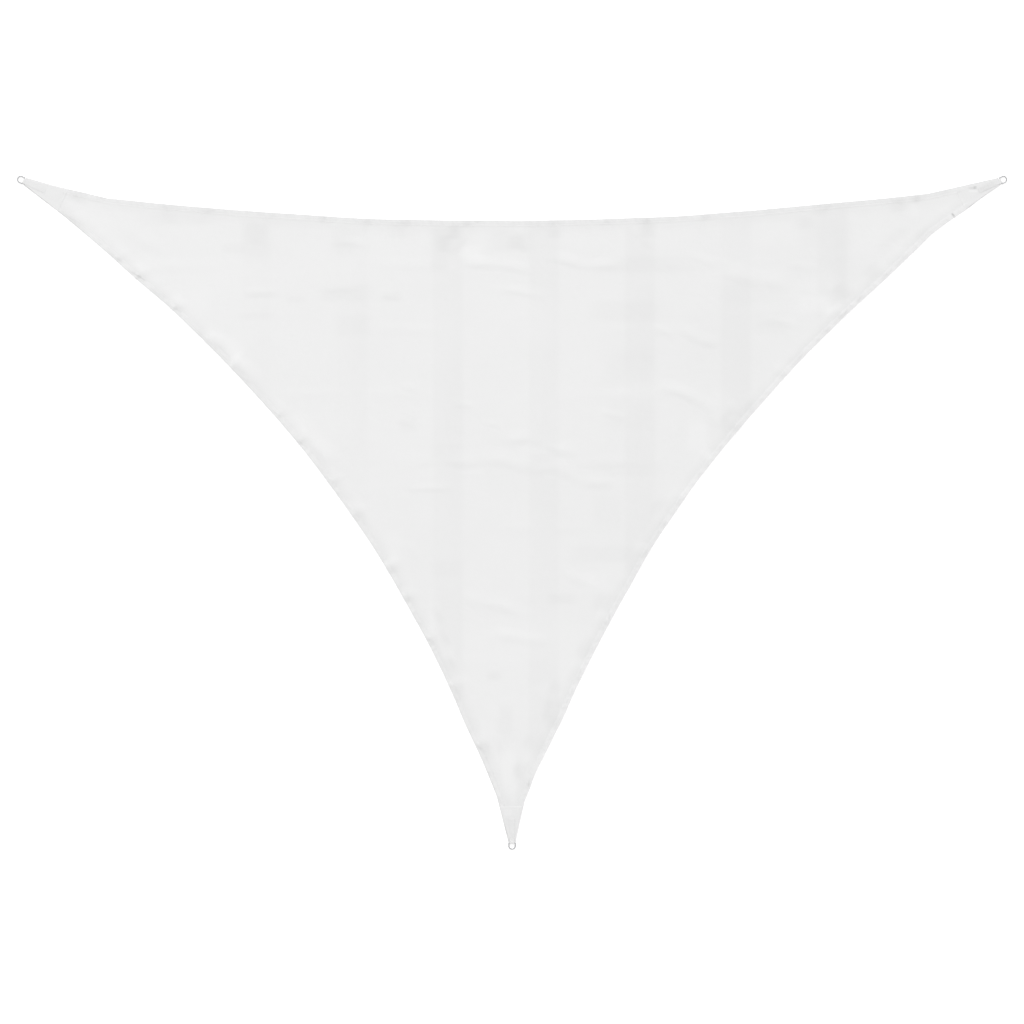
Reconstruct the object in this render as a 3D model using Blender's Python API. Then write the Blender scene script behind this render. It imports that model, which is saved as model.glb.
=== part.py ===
"""A three-cornered shade sail, laid out flat and face up: the cloth with its turned hem, a doubling patch
and a webbing tab at each corner, and the steel D ring that each tab holds.

Metres, +Z up. The origin is on the surface that the sail lies on, under the middle of its box. +X runs along
the long top edge and +Y points from the bottom corner to that edge.
"""

from collections import namedtuple
import math

import bpy
import numpy as np
from mathutils.geometry import delaunay_2d_cdt

# ---------------------------------------------------------------- the sail's plan
# A corner: the middle of the cloth's blunt tip, the bearing of its pull in degrees from +X, its patch's length.
Corner = namedtuple("Corner", "name x y bearing patch_length")
CORNERS = (
    Corner("left", -2.949, 2.005, 155.0, 0.260),
    Corner("bottom", 0.000, -1.990, -90.0, 0.215),
    Corner("right", 2.949, 2.005, 25.0, 0.260),
)
TIP_WIDTH = 0.046

# A side, from one corner's tip to the next: straight to its first kink, hollow by sag to its second kink, and
# straight again. shape is the hollow's power: 2 is a parabola, and less has straighter ends.
Side = namedtuple("Side", "name kink_1_x kink_1_y kink_2_x kink_2_y sag shape")
SIDES = (
    Side("left", -2.394, 1.532, -0.093, -1.716, 0.272, 1.8),
    Side("right", 0.076, -1.748, 2.539, 1.676, 0.284, 1.7),
    Side("top", 2.517, 1.930, -2.445, 1.900, 0.151, 1.8),
)
OUTLINE_STEP = 0.070

# The sides aren't quite even. A bulge moves its side out by a few millimetres, or in where out is below 0,
# around a distance along the side and over this reach either way.
Bulge = namedtuple("Bulge", "side along reach out")
BULGES = (
    Bulge("left", 0.30, 0.36, -0.006),
    Bulge("left", 0.86, 0.34, 0.010),
    Bulge("left", 2.70, 0.40, 0.006),
    Bulge("left", 3.78, 0.30, -0.003),
    Bulge("left", 4.28, 0.26, 0.007),
    Bulge("right", 0.44, 0.16, -0.007),
    Bulge("right", 0.80, 0.26, 0.006),
    Bulge("right", 1.95, 0.30, -0.006),
    Bulge("right", 3.40, 0.34, -0.003),
    Bulge("right", 4.12, 0.38, 0.007),
    Bulge("right", 4.60, 0.24, -0.008),
    Bulge("right", 4.88, 0.14, -0.004),
    Bulge("top", 1.10, 0.50, 0.004),
    Bulge("top", 1.95, 0.36, -0.004),
    Bulge("top", 2.70, 0.40, 0.002),
    Bulge("top", 3.10, 0.22, 0.004),
    Bulge("top", 3.85, 0.44, -0.005),
    Bulge("top", 5.30, 0.24, 0.002),
    Bulge("top", 5.72, 0.20, -0.004),
)

# ---------------------------------------------------------------- cloth, hem and corners
CLOTH = 0.0020
HEM = 0.0010
HEM_WIDTH = 0.034
HEM_STEP = 0.006
GAP = 0.0003

PATCH = 0.0012
PATCH_INSET = 0.007
PATCH_START = 0.012

WEBBING = 0.0016
WEBBING_WIDTH = 0.030
TAB_LENGTH = 0.140
TAB_ARC_STEPS = 12

RING_WIRE = 0.007
RING_WIDTH = 0.046
RING_LENGTH = 0.045
RING_BEND = 0.004
RING_ARC_STEPS = 14
RING_CORNER_STEPS = 3
BAR_OUT = 0.007

# The cloth's corner lies over the tab's lower leaf, then slopes down to the surface.
CORNER_LIFT = WEBBING + GAP
LIFT_FLAT = 0.150
LIFT_END = 0.270
CALM_START, CALM_END = 0.300, 0.480

# ---------------------------------------------------------------- relief of the cloth
# Creases left by the sail's packing: soft ridges along a grid.
PACK_X = (-1.549, -0.968, -0.387, 0.193, 0.774, 1.355, 1.936)
PACK_Y = (1.500, 1.105, 0.712, 0.310, -0.080, -0.500, -0.900)
PACK_HEIGHT = 0.0034
PACK_HALF_WIDTH = 0.055
PACK_STEP = 0.200

# The main folds and swellings, seen from above: from one end to the other, bowed to the left of that way by
# bow at the middle, half_width either side of the crest.
Fold = namedtuple("Fold", "name x1 y1 x2 y2 bow half_width height")
FOLDS = (
    Fold("long crease, west", -0.62, 0.300, 0.12, 0.284, 0.022, 0.055, 0.0026),
    Fold("long crease, east", -0.02, 0.302, 0.71, 0.128, 0.014, 0.054, 0.0032),
    Fold("short crease above it", -0.12, 0.462, 0.47, 0.338, 0.020, 0.052, 0.0026),
    Fold("upper middle, west", -0.33, 1.520, 0.13, 1.462, 0.006, 0.040, 0.0027),
    Fold("upper middle, east", 0.19, 1.548, 0.70, 1.494, -0.020, 0.040, 0.0029),
    Fold("upper middle, low", -0.13, 1.350, 0.23, 1.306, 0.004, 0.036, 0.0020),
    Fold("right, low", 0.84, 0.760, 1.24, 0.615, 0.026, 0.044, 0.0042),
    Fold("right, middle", 0.99, 1.118, 1.26, 1.018, -0.012, 0.044, 0.0036),
    Fold("right, upper", 1.22, 1.452, 1.68, 1.352, 0.018, 0.060, 0.0036),
    Fold("lower, west", -0.31, -0.520, 0.11, -0.628, 0.008, 0.044, 0.0037),
    Fold("lower, east", -0.13, -0.735, 0.23, -0.775, -0.010, 0.040, 0.0035),
    Fold("gather under the top hem, west", -0.26, 1.725, -0.41, 1.560, 0.012, 0.045, 0.0031),
    Fold("gather under the top hem, east", 0.03, 1.735, 0.07, 1.570, 0.006, 0.045, 0.0032),
    Fold("right swelling, low", 1.20, 0.530, 1.36, 0.660, 0.000, 0.110, 0.0058),
    Fold("right swelling, high", 1.80, 1.230, 1.98, 1.420, 0.000, 0.120, 0.0058),
    Fold("left edge, high", -1.86, 1.080, -1.52, 0.760, 0.010, 0.060, 0.0055),
    Fold("left edge, middle", -1.33, 0.560, -1.06, 0.240, 0.010, 0.060, 0.0055),
    Fold("left edge, low", -0.74, -0.420, -0.60, -0.690, 0.006, 0.050, 0.0050),
    Fold("left edge, foot", -0.46, -0.740, -0.39, -0.960, 0.004, 0.045, 0.0045),
    Fold("bottom corner, high", 0.17, -1.020, 0.23, -1.280, 0.008, 0.050, 0.0037),
    Fold("bottom corner, west", -0.14, -1.180, -0.06, -1.460, 0.006, 0.045, 0.0038),
    Fold("right corner", 2.18, 1.610, 2.40, 1.745, 0.006, 0.060, 0.0025),
    Fold("left corner", -2.38, 1.740, -2.10, 1.560, 0.006, 0.055, 0.0020),
)
FOLD_STEP = 0.085
FOLD_ROWS = (-1.0, -0.5, 0.0, 0.5, 1.0)
LEAST_SPACING = 0.020


# ---------------------------------------------------------------- plan geometry
def bearing(degrees):
    """Unit vector in the plan, degrees from +X towards +Y."""
    return np.array([math.cos(math.radians(degrees)), math.sin(math.radians(degrees))])


def left_of(way):
    """The way turned a quarter turn to its left, for one vector or a row of them."""
    return np.stack([-way[..., 1], way[..., 0]], axis=-1)


def tip_ends(corner):
    """The two ends of a corner's blunt tip, in the order that the outline passes them."""
    middle = np.array([corner.x, corner.y])
    half = 0.5 * TIP_WIDTH * left_of(bearing(corner.bearing))
    return middle - half, middle + half


def side_points(side, start, end, step):
    """A side as points: straight, hollow by sag * (1 - |2t - 1| ** shape), straight, then moved by its bulges,
    each out * bump(distance / reach)."""
    kink_1 = np.array([side.kink_1_x, side.kink_1_y])
    kink_2 = np.array([side.kink_2_x, side.kink_2_y])
    chord = kink_2 - kink_1
    length = np.linalg.norm(chord)
    t = np.linspace(0.0, 1.0, max(3, round(length / step)) + 1)
    hollow = side.sag * (1.0 - np.abs(2.0 * t - 1.0) ** side.shape)
    middle = kink_1 + np.outer(t, chord) + np.outer(hollow, left_of(chord / length))

    def run(a, b):
        count = max(2, round(np.linalg.norm(b - a) / step))
        return a + np.outer(np.arange(count) / count, b - a)

    path = np.vstack([run(start, kink_1), middle[:-1], run(kink_2, end), [end]])
    along = np.concatenate([[0.0], np.cumsum(np.linalg.norm(np.diff(path, axis=0), axis=1))])
    way = np.gradient(path, axis=0)
    way /= np.linalg.norm(way, axis=1)[:, None]
    bulges = [bulge for bulge in BULGES if bulge.side == side.name]
    out = np.sum([bulge.out * bump((along - bulge.along) / bulge.reach) for bulge in bulges], axis=0)
    return path - out[:, None] * left_of(way)


def outline_sides(step):
    """The three sides, each from the tip of one corner to the tip of the next, anticlockwise from above."""
    sides = []
    for i, side in enumerate(SIDES):
        start = tip_ends(CORNERS[i])[1]
        end = tip_ends(CORNERS[(i + 1) % len(CORNERS)])[0]
        sides.append(side_points(side, start, end, step))
    return sides


def distance_to(path, points):
    """Each point's distance to the nearest place on a path."""
    a, b = path[:-1], path[1:]
    way = b - a
    rel = points[:, None, :] - a[None, :, :]
    t = np.clip((rel * way).sum(2) / (way * way).sum(1), 0.0, 1.0)
    return np.linalg.norm(rel - t[:, :, None] * way, axis=2).min(1)


def distance_to_sides(sides, points):
    return np.min([distance_to(path, points) for path in sides], axis=0)


def inset_loop(sides, inset):
    """The line that runs this far inside all three sides."""
    rows = []
    for path in sides:
        way = np.gradient(path, axis=0)
        way /= np.linalg.norm(way, axis=1)[:, None]
        moved = path + inset * left_of(way)
        clear = distance_to_sides(sides, moved) > inset - 1e-4
        rows.append(moved[clear])
    return np.vstack(rows)


# ---------------------------------------------------------------- the cloth's height
def bump(u):
    """A soft hump: 1 at u = 0, falling along a cosine to 0 at u = -1 and u = 1."""
    return 0.5 + 0.5 * np.cos(math.pi * np.clip(u, -1.0, 1.0))


def smooth(u):
    """0 below u = 0, 1 above u = 1, and an even slope between them."""
    u = np.clip(u, 0.0, 1.0)
    return u * u * (3.0 - 2.0 * u)


def fold_axes(fold):
    start = np.array([fold.x1, fold.y1])
    end = np.array([fold.x2, fold.y2])
    length = np.linalg.norm(end - start)
    return 0.5 * (start + end), (end - start) / length, length


def fold_height(fold, points):
    """A hump across the fold's bowed crest, level along its middle and dying away over its end quarters."""
    middle, way, length = fold_axes(fold)
    rel = points - middle
    along = rel @ way / (0.5 * length)
    across = rel @ left_of(way) - fold.bow * (1.0 - along**2)
    return fold.height * bump(across / fold.half_width) * bump(np.clip(2.0 * np.abs(along) - 1.0, 0.0, 1.0))


def pack_height(points):
    """The packing creases: the higher of the two ridges where they cross, a little uneven along their way."""
    x, y = points[:, 0], points[:, 1]
    upright = np.max([bump((x - line) / PACK_HALF_WIDTH) for line in PACK_X], axis=0)
    level = np.max([bump((y - line) / PACK_HALF_WIDTH) for line in PACK_Y], axis=0)
    upright = upright * (0.72 + 0.28 * np.sin(2.3 * y + 1.7 * x))
    level = level * (0.66 + 0.34 * np.sin(1.9 * x - 1.1 * y + 0.6))
    return PACK_HEIGHT * np.maximum(upright, level)


def corner_distance(corner, points):
    """How far each point lies inside the corner's tip, along the line of its pull."""
    return (np.array([corner.x, corner.y]) - points) @ bearing(corner.bearing)


def corner_lift(distance):
    """The cloth's lift over the tab's lower leaf: level, then an even slope down to the surface."""
    return CORNER_LIFT * np.clip((LIFT_END - distance) / (LIFT_END - LIFT_FLAT), 0.0, 1.0)


def in_corner(corner, points, reach):
    middle = np.array([corner.x, corner.y])
    return np.linalg.norm(points - middle, axis=1) < reach


def underside(points):
    """Height of the cloth's underside: creases and folds, calm near the corners, and the corners' lift."""
    height = pack_height(points) + np.sum([fold_height(fold, points) for fold in FOLDS], axis=0)
    for corner in CORNERS:
        away = np.linalg.norm(points - np.array([corner.x, corner.y]), axis=1)
        height = height * smooth((away - CALM_START) / (CALM_END - CALM_START))
    for corner in CORNERS:
        lift = corner_lift(corner_distance(corner, points))
        height = height + np.where(in_corner(corner, points, 2.0 * LIFT_END), lift, 0.0)
    return height


def thickness(sides, points):
    """One cloth, with the turned hem's extra layers in a band along the edge."""
    inside = distance_to_sides(sides, points)
    return CLOTH + HEM * np.clip((HEM_WIDTH + HEM_STEP - inside) / HEM_STEP, 0.0, 1.0)


# ---------------------------------------------------------------- mesh helpers
def material(name, colour, roughness, metallic):
    made = bpy.data.materials.new(name)
    made.use_nodes = True
    shader = made.node_tree.nodes["Principled BSDF"]
    shader.inputs["Base Color"].default_value = (*colour, 1.0)
    shader.inputs["Roughness"].default_value = roughness
    shader.inputs["Metallic"].default_value = metallic
    return made


def add_mesh(name, vertices, faces, finish):
    mesh = bpy.data.meshes.new(name)
    mesh.from_pydata([tuple(map(float, v)) for v in vertices], [], [tuple(map(int, f)) for f in faces])
    mesh.materials.append(finish)
    mesh.shade_smooth()
    mesh.set_sharp_from_angle(angle=math.radians(40.0))
    made = bpy.data.objects.new(name, mesh)
    bpy.context.scene.collection.objects.link(made)
    return made


def slab(plan, faces, low, high):
    """Vertices and faces of a closed slab between two heights over the same triangles of the plan."""
    count = len(plan)
    vertices = np.vstack([np.column_stack([plan, high]), np.column_stack([plan, low])])
    edges = np.vstack([faces[:, [0, 1]], faces[:, [1, 2]], faces[:, [2, 0]]])
    there = {(int(a), int(b)) for a, b in edges}
    rim = [(a, a + count, b + count, b) for a, b in there if (b, a) not in there]
    under = faces[:, ::-1] + count
    return vertices, [*map(tuple, faces), *map(tuple, under), *sorted(rim)]


def spaced(points, least):
    """The points in their order, without those closer than this to one before them."""
    kept = np.empty((0, 2))
    for point in points:
        if not len(kept) or np.linalg.norm(kept - point, axis=1).min() >= least:
            kept = np.vstack([kept, point])
    return kept


# ---------------------------------------------------------------- the cloth
def fold_points():
    """Points along each fold's crest, shoulders and feet."""
    rows = []
    for fold in FOLDS:
        middle, way, length = fold_axes(fold)
        along = np.linspace(-1.0, 1.0, max(4, round(length / FOLD_STEP)) + 1)
        crest = middle + np.outer(along, 0.5 * length * way)
        for row in FOLD_ROWS:
            across = fold.bow * (1.0 - along**2) + row * fold.half_width
            rows.append(crest + np.outer(across, left_of(way)))
    return np.vstack(rows)


def pack_points(sides):
    """Points along the crest and feet of each packing crease."""
    reach = np.vstack(sides)
    low, high = reach.min(0), reach.max(0)
    xs = np.arange(low[0], high[0], PACK_STEP)
    ys = np.arange(low[1], high[1], PACK_STEP)
    rows = []
    for shift in (0.0, -PACK_HALF_WIDTH, PACK_HALF_WIDTH):
        rows += [np.column_stack([np.full(len(ys), x + shift), ys]) for x in PACK_X]
        rows += [np.column_stack([xs, np.full(len(xs), y + shift)]) for y in PACK_Y]
    return np.vstack(rows)


def corner_lines():
    """Points across each corner where its lift starts to slope, and where it ends, in pairs."""
    rows = []
    for corner in CORNERS:
        for distance in (LIFT_FLAT, LIFT_END):
            rows += list(corner_chord(corner, distance, 0.0))
    return np.array(rows)


def corner_chord(corner, distance, inset):
    """Where a line across the corner, this far in from its tip, meets the two sides, less the inset."""
    index = CORNERS.index(corner)
    before, after = SIDES[index - 1], SIDES[index]
    first, last = tip_ends(corner)
    pull = bearing(corner.bearing)
    across = left_of(pull)
    origin = np.array([corner.x, corner.y])
    ends = []
    for tip, kink in (
        (first, np.array([before.kink_2_x, before.kink_2_y])),
        (last, np.array([after.kink_1_x, after.kink_1_y])),
    ):
        way = (kink - tip) / np.linalg.norm(kink - tip)
        point = tip + way * (distance - (origin - tip) @ pull) / -(way @ pull)
        shift = inset / abs(way @ pull)
        ends.append(point - math.copysign(shift, (point - origin) @ across) * across)
    return ends


def closed_chain(first, count):
    """The edges that join this many points, from the first on, into a loop."""
    return [(first + i, first + (i + 1) % count) for i in range(count)]


def make_cloth(finish):
    sides = outline_sides(OUTLINE_STEP)
    loops = [np.vstack(sides), inset_loop(sides, HEM_WIDTH), inset_loop(sides, HEM_WIDTH + HEM_STEP)]
    points = np.vstack(loops)
    edges = []
    first = 0
    for loop in loops:
        edges += closed_chain(first, len(loop))
        first += len(loop)
    chords = corner_lines()
    edges += [(first + i, first + i + 1) for i in range(0, len(chords), 2)]
    points = np.vstack([points, chords])

    inner = np.vstack([fold_points(), pack_points(sides)])
    inner = inner[inside_outline(loops[0], inner)]
    inner = inner[distance_to_sides(sides, inner) > HEM_WIDTH + HEM_STEP + 0.5 * LEAST_SPACING]
    tips = np.array([[corner.x, corner.y] for corner in CORNERS])
    inner = inner[np.linalg.norm(inner[:, None] - tips, axis=2).min(1) > CALM_START]
    points = np.vstack([points, spaced(inner, LEAST_SPACING)])

    inside_only = 1
    flat, _, triangles, *_ = delaunay_2d_cdt([tuple(p) for p in points], edges, [], inside_only, 1e-6)
    plan = np.array([(v.x, v.y) for v in flat])
    low = underside(plan)
    vertices, faces = slab(plan, np.array(triangles), low, low + thickness(sides, plan))
    return add_mesh("sail_cloth", vertices, faces, finish)


def inside_outline(loop, points):
    """Which points lie inside a loop, by how often a line to their right crosses it."""
    a, b = loop, np.roll(loop, -1, axis=0)
    x, y = points[:, :1], points[:, 1:]
    spans = (a[:, 1] > y) != (b[:, 1] > y)
    rise = np.where(np.abs(b[:, 1] - a[:, 1]) < 1e-12, 1e-12, b[:, 1] - a[:, 1])
    crossing = a[:, 0] + (y - a[:, 1]) * (b[:, 0] - a[:, 0]) / rise
    return (spans & (x < crossing)).sum(1) % 2 == 1


# ---------------------------------------------------------------- corner pieces
def make_patch(corner, finish):
    """A doubling patch, level across the corner and on top of its hems."""
    stations = (PATCH_START, LIFT_FLAT, corner.patch_length)
    plan = np.vstack([corner_chord(corner, distance, PATCH_INSET) for distance in stations])
    faces = []
    for row in range(len(stations) - 1):
        a = 2 * row
        faces += [(a + 1, a, a + 2), (a + 1, a + 2, a + 3)]
    low = corner_lift(corner_distance(corner, plan)) + CLOTH + HEM + GAP
    vertices, faces = slab(plan, facing_up(plan, np.array(faces)), low, low + PATCH)
    return add_mesh(f"corner_patch_{corner.name}", vertices, faces, finish)


def facing_up(plan, faces):
    """The triangles, each turned to run anticlockwise from above."""
    a, b, c = (plan[faces[:, i]] for i in range(3))
    turn = (b - a)[:, 0] * (c - a)[:, 1] - (b - a)[:, 1] * (c - a)[:, 0]
    return np.where((turn > 0.0)[:, None], faces, faces[:, ::-1])


def tab_path():
    """Middle line of the tab's webbing, as (distance inside the tip, height): the lower leaf, round the
    ring's bar, down onto the patch, and the upper leaf."""
    half = 0.5 * WEBBING
    bar_height = WEBBING + GAP + 0.5 * RING_WIRE
    radius = 0.5 * RING_WIRE + GAP + half
    leaf_height = CORNER_LIFT + CLOTH + HEM + GAP + PATCH + GAP + half
    turn = np.radians(np.linspace(-90.0, 102.0, TAB_ARC_STEPS + 1))
    arc = np.column_stack([-BAR_OUT - radius * np.cos(turn), bar_height + radius * np.sin(turn)])
    return np.vstack(
        [
            [(TAB_LENGTH, half)],
            arc,
            [(0.25 * BAR_OUT, leaf_height + 0.10 * WEBBING), (0.90 * BAR_OUT, leaf_height)],
            [(TAB_LENGTH, leaf_height)],
        ]
    )


def make_tab(corner, finish):
    """The tab's webbing: its thickness either side of the middle line, carried across its width."""
    path = tab_path()
    way = np.diff(path, axis=0)
    way /= np.linalg.norm(way, axis=1)[:, None]
    normal = left_of(way)
    joint = np.vstack([normal[:1], normal[:-1] + normal[1:], normal[-1:]])
    joint /= (joint * np.vstack([normal[:1], normal[1:], normal[-1:]])).sum(1)[:, None]
    pull = bearing(corner.bearing)
    across = left_of(pull)
    origin = np.array([corner.x, corner.y])
    vertices = []
    for side in (-0.5, 0.5):
        for offset in (-0.5, 0.5):
            section = path + offset * WEBBING * joint
            plan = origin - np.outer(section[:, 0], pull) + side * WEBBING_WIDTH * across
            vertices.append(np.column_stack([plan, section[:, 1]]))
    count = len(path)
    right_in, right_out, left_in, left_out = (count * i for i in range(4))
    faces = []
    for i in range(count - 1):
        for a, b in ((right_in, right_out), (right_out, left_out), (left_out, left_in), (left_in, right_in)):
            faces.append((a + i, b + i, b + i + 1, a + i + 1))
    for end, ring in ((0, 1), (count - 1, -1)):
        cap = [right_in + end, left_in + end, left_out + end, right_out + end]
        faces.append(tuple(cap[::ring]))
    return add_mesh(f"ring_tab_{corner.name}", np.vstack(vertices), faces, finish)


def ring_path():
    """Middle line of a D ring, as (distance outside its bar, place across): the bar with its two bends, then
    a straight leg and half a circle."""
    half = 0.5 * (RING_WIDTH - RING_WIRE)
    bow_centre = RING_LENGTH - RING_WIRE - half
    points = []
    for i in range(RING_CORNER_STEPS + 1):
        turn = 0.5 * math.pi * i / RING_CORNER_STEPS
        points.append((RING_BEND * (1.0 - math.cos(turn)), half - RING_BEND * (1.0 - math.sin(turn))))
    for i in range(RING_ARC_STEPS + 1):
        turn = 0.5 * math.pi - math.pi * i / RING_ARC_STEPS
        points.append((bow_centre + half * math.cos(turn), half * math.sin(turn)))
    points += [(out, -across) for out, across in points[RING_CORNER_STEPS::-1]]
    return points


def make_ring(corner, finish):
    """The D ring: its bar inside the tab, its bow tipped down to rest on the surface."""
    bar_height = WEBBING + GAP + 0.5 * RING_WIRE
    bow_height = 0.5 * RING_WIRE
    reach = RING_LENGTH - RING_WIRE
    curve = bpy.data.curves.new(f"ring_{corner.name}", "CURVE")
    curve.dimensions = "3D"
    curve.bevel_depth = 0.5 * RING_WIRE
    curve.bevel_resolution = 3
    curve.materials.append(finish)
    spline = curve.splines.new("POLY")
    path = ring_path()
    spline.points.add(len(path) - 1)
    pull = bearing(corner.bearing)
    across = left_of(pull)
    origin = np.array([corner.x, corner.y]) + BAR_OUT * pull
    for point, (out, aside) in zip(spline.points, path):
        place = origin + out * pull + aside * across
        height = bar_height + (bow_height - bar_height) * out / reach
        point.co = (*map(float, place), height, 1.0)
    spline.use_cyclic_u = True
    made = bpy.data.objects.new(f"ring_{corner.name}", curve)
    bpy.context.scene.collection.objects.link(made)
    return made


# ---------------------------------------------------------------- the whole sail
def main():
    for old in list(bpy.data.objects):
        bpy.data.objects.remove(old)
    cloth = material("white_cloth", (0.86, 0.86, 0.86), 0.85, 0.0)
    doubling = material("white_doubling_cloth", (0.84, 0.84, 0.84), 0.85, 0.0)
    webbing = material("white_webbing", (0.82, 0.82, 0.82), 0.80, 0.0)
    steel = material("stainless_steel", (0.62, 0.62, 0.63), 0.25, 1.0)
    make_cloth(cloth)
    for corner in CORNERS:
        make_patch(corner, doubling)
        make_tab(corner, webbing)
        make_ring(corner, steel)


main()
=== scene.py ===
"""The looks of a three-cornered shade sail, laid out flat and face up on a pale floor.

Metres, +Z up. +X runs along the long top edge and +Y points from the bottom corner to that edge. The sail
sheet, its turned hem, the corner patches, webbing tabs, D rings and all sewing are surfaces worked out with
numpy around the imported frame.
"""

from collections import namedtuple
import math

import bpy
import numpy as np
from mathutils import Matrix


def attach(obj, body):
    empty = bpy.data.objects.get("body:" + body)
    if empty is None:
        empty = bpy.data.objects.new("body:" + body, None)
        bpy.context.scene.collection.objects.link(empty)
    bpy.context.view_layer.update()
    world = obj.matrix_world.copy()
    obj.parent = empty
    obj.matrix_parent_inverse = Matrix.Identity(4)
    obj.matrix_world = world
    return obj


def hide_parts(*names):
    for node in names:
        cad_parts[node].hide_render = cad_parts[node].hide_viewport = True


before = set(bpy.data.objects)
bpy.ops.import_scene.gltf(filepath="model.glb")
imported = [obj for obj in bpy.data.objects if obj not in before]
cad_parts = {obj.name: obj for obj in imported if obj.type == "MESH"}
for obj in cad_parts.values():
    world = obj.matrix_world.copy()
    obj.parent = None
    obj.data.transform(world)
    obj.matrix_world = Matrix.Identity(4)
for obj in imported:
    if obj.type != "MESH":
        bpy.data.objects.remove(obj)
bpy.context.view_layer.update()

BODY = "root"


# ---- small helpers
def table(columns, rows):
    """The rows of a short table, with its columns named."""
    row = namedtuple("Row", columns)
    return [row(*values) for values in rows]


def by_side(columns, **sides):
    """A short table for each side of the sail."""
    return {side: table(columns, rows) for side, rows in sides.items()}


def bump(u):
    """A soft hump: 1 at u = 0, falling along a cosine to 0 at u = -1 and u = 1."""
    return 0.5 + 0.5 * np.cos(math.pi * np.clip(u, -1.0, 1.0))


def smooth(u):
    """0 below u = 0, 1 above u = 1, and an even slope between them."""
    u = np.clip(u, 0.0, 1.0)
    return u * u * (3.0 - 2.0 * u)


def beat(along, length, phase=0.0):
    """A sine wave of this length."""
    return np.sin(2.0 * math.pi * along / length + phase)


def bearing(degrees):
    """Unit vector in the plan, degrees from +X towards +Y."""
    return np.array([math.cos(math.radians(degrees)), math.sin(math.radians(degrees))])


def left_of(way):
    """The way turned a quarter turn to its left, for one vector or a row of them."""
    return np.stack([-way[..., 1], way[..., 0]], axis=-1)


def unit(ways):
    """Each vector at length 1."""
    return ways / np.linalg.norm(ways, axis=-1, keepdims=True)


def path_marks(path):
    """Distance of each point of a path from its start, along the path."""
    return np.concatenate([[0.0], np.cumsum(np.linalg.norm(np.diff(path, axis=0), axis=1))])


def path_at(at, marks, path):
    """The path's places at these distances along it."""
    return np.column_stack([np.interp(at, marks, column) for column in path.T])


# ---- the sail's plan
class Corner(namedtuple("Corner", "name x y degrees patch_length patch_cut tab_end tab_grey light")):
    """A corner: the middle of the cloth's blunt tip, the bearing of its pull, its patch's length and cut
    area, how thick its tab's cut end is pressed, how grey its tab is and the painted light on the cloth
    beside it."""

    @property
    def place(self):
        return np.array([self.x, self.y])

    @property
    def pull(self):
        return bearing(self.degrees)

    @property
    def across(self):
        return left_of(self.pull)

    @property
    def tip_ends(self):
        """The two ends of the blunt tip, in the order that the outline passes them."""
        half = 0.5 * TIP_WIDTH * self.across
        return self.place - half, self.place + half

    def away(self, points):
        """Each point's distance from the middle of the tip."""
        return np.linalg.norm(points - self.place, axis=1)

    def depth(self, points):
        """How far each point lies inside the tip, along the line of the pull."""
        return (self.place - points) @ self.pull


CORNERS = (
    Corner("left", -2.949, 2.005, 155.0, 0.260, 0.022, 0.3, 0.0, 0.007),
    Corner("bottom", 0.000, -1.990, -90.0, 0.215, 0.022, 0.3, 0.0, 0.016),
    Corner("right", 2.949, 2.005, 25.0, 0.260, 0.024, 1.0, 0.05, 0.003),
)
TIP_WIDTH = 0.046

# A side, from one corner's tip to the next: straight to its first kink, hollow by sag to its second kink, and
# straight again. shape is the hollow's power. Then the painted shade on the cloth beside the hem, on the
# hem's rim, on the rim near the side's ends and on the hem's seams, each painted light where it is below 0;
# and the painted light at the hem's inner step, painted shade where it is below 0.
SIDES = table(
    "name kink_1_x kink_1_y kink_2_x kink_2_y sag shape cloth_grey rim_grey end_grey seam_grey step_light",
    (
        ("left", -2.394, 1.532, -0.093, -1.716, 0.272, 1.8, 0.022, 0.018, 0.060, 0.0, -0.02),
        ("right", 0.076, -1.748, 2.539, 1.676, 0.284, 1.7, 0.036, -0.045, 0.0, 0.0, -0.01),
        ("top", 2.517, 1.930, -2.445, 1.900, 0.151, 1.8, 0.024, 0.060, 0.0, -0.040, 0.048),
    ),
)
OUTLINE_STEP = 0.070
LINE_POINTS, LINE_SMOOTHING, FOOT_STEPS = 1200, 7, 6

# A bulge moves its side out by a few millimetres, or in where out is below 0, around a distance along it and
# over this reach either way.
BULGES = by_side(
    "along reach out",
    left=(
        (0.3, 0.36, -0.006), (0.86, 0.34, 0.01), (2.7, 0.4, 0.006), (3.78, 0.3, -0.003),
        (4.28, 0.26, 0.007),
    ),
    right=(
        (0.44, 0.16, -0.007), (0.8, 0.26, 0.006), (1.95, 0.3, -0.006), (3.4, 0.34, -0.003),
        (4.12, 0.38, 0.007), (4.6, 0.24, -0.008), (4.88, 0.14, -0.004),
    ),
    top=(
        (1.1, 0.5, 0.004), (1.95, 0.36, -0.004), (2.7, 0.4, 0.002), (3.1, 0.22, 0.004),
        (3.85, 0.44, -0.005), (5.3, 0.24, 0.002), (5.72, 0.2, -0.004),
    ),
)

# ---- thicknesses and hardware
# GAP stands between pieces that touch.
CLOTH, PATCH, WEBBING = 0.0012, 0.0012, 0.0016
SOLID_CLOTH = 0.0030
GAP = 0.0003

HEM_WIDTH = 0.034
HEM_TOP, HEM_ROUND = 0.0028, 0.0013
HEM_CROWN, CROWN_MIDDLE, CROWN_REACH = 0.0005, 0.013, 0.016
HEM_PRESS, PRESS_START = 0.0014, 0.0255
GROOVE_DEPTH, GROOVE_HALF_WIDTH = 0.0003, 0.0024
SEAM_ROWS = (0.0245, 0.0305)
HEM_STATIONS = (
    *(0.004, 0.0075, 0.011, 0.015, 0.019, 0.0215, 0.0233, SEAM_ROWS[0]),
    *(0.0258, 0.0275, 0.0292, SEAM_ROWS[1], 0.0318, 0.033),
)
SHEET_INSET = 0.004

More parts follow.
